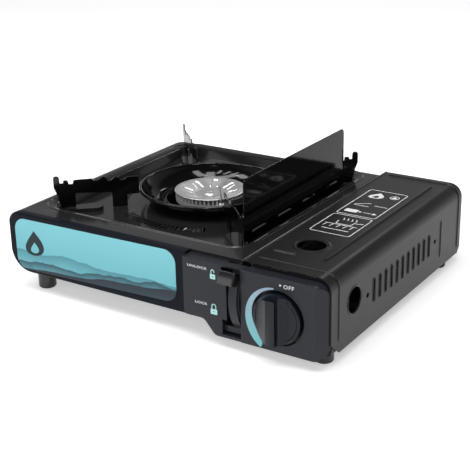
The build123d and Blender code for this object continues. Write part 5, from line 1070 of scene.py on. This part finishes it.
# %% Inks
def new_ink(name, low_tone, high_tone, low_z, high_z):
    """An ink that runs from one tone to another up the stove, with uneven cover."""
    ink, tree, shader, place = new_material(name, 0.3)
    split = shader_node(tree, "ShaderNodeSeparateXYZ")
    height = shader_node(tree, "ShaderNodeMapRange", From_Min=low_z, From_Max=high_z)
    run = shader_node(tree, "ShaderNodeValToRGB")
    run.color_ramp.elements[0].color = (*low_tone, 1)
    run.color_ramp.elements[1].color = (*high_tone, 1)
    wire(tree, (place, "Object", split, 0), (split, "Z", height, "Value"), (height, 0, run, 0),
         (run, "Color", shader, "Base Color"))
    uneven_sheen(tree, place, shader, 900.0, 0.42, 0.58)
    finishes[name] = ink


new_ink("white_ink", (0.78, 0.79, 0.80), (0.84, 0.85, 0.86), 0.0, 0.08)
new_ink("teal_ink", (0.20, 0.60, 0.62), (0.38, 0.50, 0.62), 0.012, 0.060)
new_ink("mint_ink", (0.46, 0.80, 0.78), (0.50, 0.83, 0.80), 0.0, 0.08)
new_ink("slate_ink", (0.006, 0.018, 0.025), (0.008, 0.022, 0.030), 0.03, 0.07)
print("inks ready")

# %% [markdown]
# Every mark is written in drawing millimetres. An outline is a list of points, and
# an outline inside another one is a hole. A stroke is a line with a width, worked
# out as one closed outline, so that a bent line has no overlaps at its corners.

# %% Outlines of marks
INK = 0.03
INK_GAP = 0.01


def mark_mesh(data):
    return plain_mesh(put("mark_maker", data))


def filled(*outlines):
    """A thin solid film from closed outlines; one inside another is a hole."""
    curve = bpy.data.curves.new("mark", "CURVE")
    curve.dimensions, curve.fill_mode, curve.extrude = "2D", "BOTH", INK
    for outline in outlines:
        spline = curve.splines.new("POLY")
        spline.points.add(len(outline) - 1)
        for point, (across, rise) in zip(spline.points, outline):
            point.co = (across, rise, 0, 1)
        spline.use_cyclic_u = True
    return mark_mesh(curve)


def stroke(points, width):
    """The outline of a line of this width through the points."""
    spots = [Vector(point) for point in points]
    left, right = [], []
    for k, spot in enumerate(spots):
        before = (spot - spots[k - 1]).normalized() if k else None
        after = (spots[k + 1] - spot).normalized() if k + 1 < len(spots) else before
        before = before or after
        ahead = (before + after).normalized()
        side = Vector((-ahead.y, ahead.x)) * (width / 2 / max(0.4, ahead.dot(after)))
        left.append(tuple(spot + side))
        right.append(tuple(spot - side))
    return left + right[::-1]


def word(text, left, right, base, top):
    """Letters stretched to the room that they have."""
    data = bpy.data.curves.new("word", "FONT")
    data.body, data.extrude, data.offset, data.space_character = text, INK, 0.012, 1.12
    mesh = mark_mesh(data)
    spots = [vert.co.copy() for vert in mesh.vertices]
    low_x, low_y = (min(spot[axis] for spot in spots) for axis in (0, 1))
    wide, tall = (max(spot[axis] for spot in spots) - min(spot[axis] for spot in spots)
                  for axis in (0, 1))
    for vert, spot in zip(mesh.vertices, spots):
        vert.co = (left + (spot.x - low_x) / wide * (right - left),
                   base + (spot.y - low_y) / tall * (top - base), spot.z)
    return mesh


def printed(name, meshes, body, ink, plane, on_top=False):
    """Lay marks on a front face, or on the lid's top, as one piece in one ink."""
    build = bmesh.new()
    for mesh in meshes:
        build.from_mesh(mesh)
    for vert in build.verts:
        x, y, z = vert.co
        film = z + INK + INK_GAP
        vert.co = at(x, y, plane + film) if on_top else at(x, plane - film, y)
    bmesh.ops.remove_doubles(build, verts=build.verts, dist=MERGE)
    bmesh.ops.recalc_face_normals(build, faces=build.faces)
    mesh = mesh_from(build, name, smooth=False)
    place_piece(name, mesh, body, "label_print", finish=ink)
    print(name, len(mesh.polygons), "faces")


print("ink film:", 2 * INK, "mm thick")

# %% [markdown]
# A padlock is a round-cornered body with a keyhole and a bow of one thickness; on
# the open one the bow's right leg is lifted. The flame scale is a wedge between two
# arcs about the knob's axis. Both are worked out from a few sizes, so that their
# curves stay true. Words are generic, and take the room between two points.


# %% Words, padlocks and the flame scale
def padlock(left, right, low, body_top, top, is_open):
    """A padlock's body with its keyhole, and its bow, whose right leg may stand free."""
    middle, bow, rod = (left + right) / 2, (right - left) * 0.36, 0.85
    leg_end = body_top + (1.5 if is_open else 0.0)
    turn = [pi * k / 12 for k in range(13)]
    outer = [(middle - bow * cos(a), top - bow + bow * sin(a)) for a in turn]
    inner = [(middle - (bow - rod) * cos(a), top - bow + (bow - rod) * sin(a)) for a in turn]
    loop = ([(middle - bow, body_top)] + outer + [(middle + bow, leg_end)]
            + [(middle + bow - rod, leg_end)] + inner[::-1] + [(middle - bow + rod, body_top)])
    keyhole = disc(middle, (low + body_top) / 2, 0.55, 12)
    return [filled(rounded(left, right, low, body_top - 0.02, 0.6, 3), keyhole), filled(loop)]


def flame_scale(start=98, corner=232, tip=241):
    """The wedge round the knob: it widens as the flame grows and ends in a point."""
    def spot(radius, angle):
        return (KNOB_X + radius * cos(radians(angle)), KNOB_Z + radius * sin(radians(angle)))

    outer = [spot(26.1 + 8.6 * (angle - start) / (tip - start), angle)
             for angle in range(start, tip + 1)]
    inner = [spot(24.9 + 1.3 * ease(angle, 205, corner), angle)
             for angle in range(corner, start, -1)]
    return filled(outer + [spot(30.7, tip)] + inner)


printed("scale_print", [flame_scale()], "base", "teal_ink", HOUSING_FRONT)
printed("off_print", [filled(disc(301.2, 70.8, 0.95)), word("OFF", 304.3, 314.0, 68.6, 72.1)],
        "base", "white_ink", HOUSING_FRONT)
printed("padlock_print", padlock(232.4, 237.7, 61.4, 65.9, 70.2, True)
        + padlock(232.2, 238.8, 29.1, 34.0, 38.9, False), "base", "mint_ink", PLATE_FRONT)
printed("lever_words", [word("UNLOCK", 209.5, 229.5, 68.3, 70.5),
                        word("LOCK", 216.5, 229.0, 36.0, 38.2)], "base", "white_ink", PLATE_FRONT)

# %% [markdown]
# ### A flame on the label, and a picture guide on the lid
#
# A plain flame marks the label. The lid carries two thin frames with small line
# drawings of how such a stove is used: a pan on its supports, a cartridge going
# in, the lid going down, and a lit flame. They are simple shapes that anyone would
# draw, with no words.


# %% Flame, frames and drawings
def flame(x, y, height, lean=0.12):
    """A drop with its tip bent to one side."""
    points = []
    for k in range(40):
        a = 2 * pi * k / 40
        rise = (1 + cos(a)) / 2
        across = 0.62 * sin(a) * abs(sin(a / 2)) ** 1.3
        points.append((x + height * (across + lean * sin(2.4 * rise)), y + height * rise))
    return points


def ring(x, y, radius, line=0.8):
    return filled(disc(x, y, radius), disc(x, y, radius - line))


def frame_line(low, high, left=271.0, right=311.0, radius=3.4, line=0.85):
    return filled(rounded(left, right, low, high, radius),
                  rounded(left + line, right - line, low + line, high - line, radius - line))


LABEL_FACE = -0.2
printed("flame_print", [filled(flame(29.0, 38.5, 25.0), flame(30.2, 41.0, 11.0))], "base",
        "slate_ink", LABEL_FACE)

# %% The guide on the lid
LINE = 0.9


def pen(*points, width=LINE):
    return stroke(points, width)


pan = [pen((283.6, 126.5), (285.0, 118.4), (299.0, 118.4), (300.4, 126.5)),
       pen((301.3, 124.6), (308.2, 126.6), width=LINE * 1.3),
       pen((275.2, 116.3), (307.0, 116.3))]
legs = [pen((277.5 + 6.6 * leg, 115.4), (276.3 + 6.6 * leg, 109.5)) for leg in range(5)]
steam = [pen(*((286.5 + 4.2 * k + 0.8 * sin(1.3 * s), 128.5 + 1.3 * s) for s in range(5)))
         for k in range(4)]
burner_row = [pen((278.0, 104.0), (304.5, 104.0), width=LINE * 1.2)]
cartridge = [rounded(275.5, 288.5, 150.8, 158.2, 1.4), rounded(289.2, 292.0, 153.3, 155.7, 0.5)]
going_in = [pen((294.0, 154.5), (302.8, 154.5)), [(303.3, 157.0), (307.5, 154.5), (303.3, 152.0)]]
lid_down = [pen((276.0, 170.5), (291.5, 170.5)), pen((276.2, 172.3), (289.8, 180.0)),
            pen((295.0, 175.5), (308.0, 175.5))]
outlines = pan + legs + steam + burner_row + cartridge + going_in + lid_down
drawings = [frame_line(93.0, 141.2), frame_line(143.6, 217.0)]
drawings += [filled(outline) for outline in outlines]
drawings.append(filled(flame(283.5, 194.5, 16.0), flame(284.3, 196.3, 7.0)))
drawings += [ring(302.0, 204.5, 4.6), filled(flame(301.6, 201.6, 5.6))]
printed("lid_print", drawings, "lid", "white_ink", LID_TOP, on_top=True)
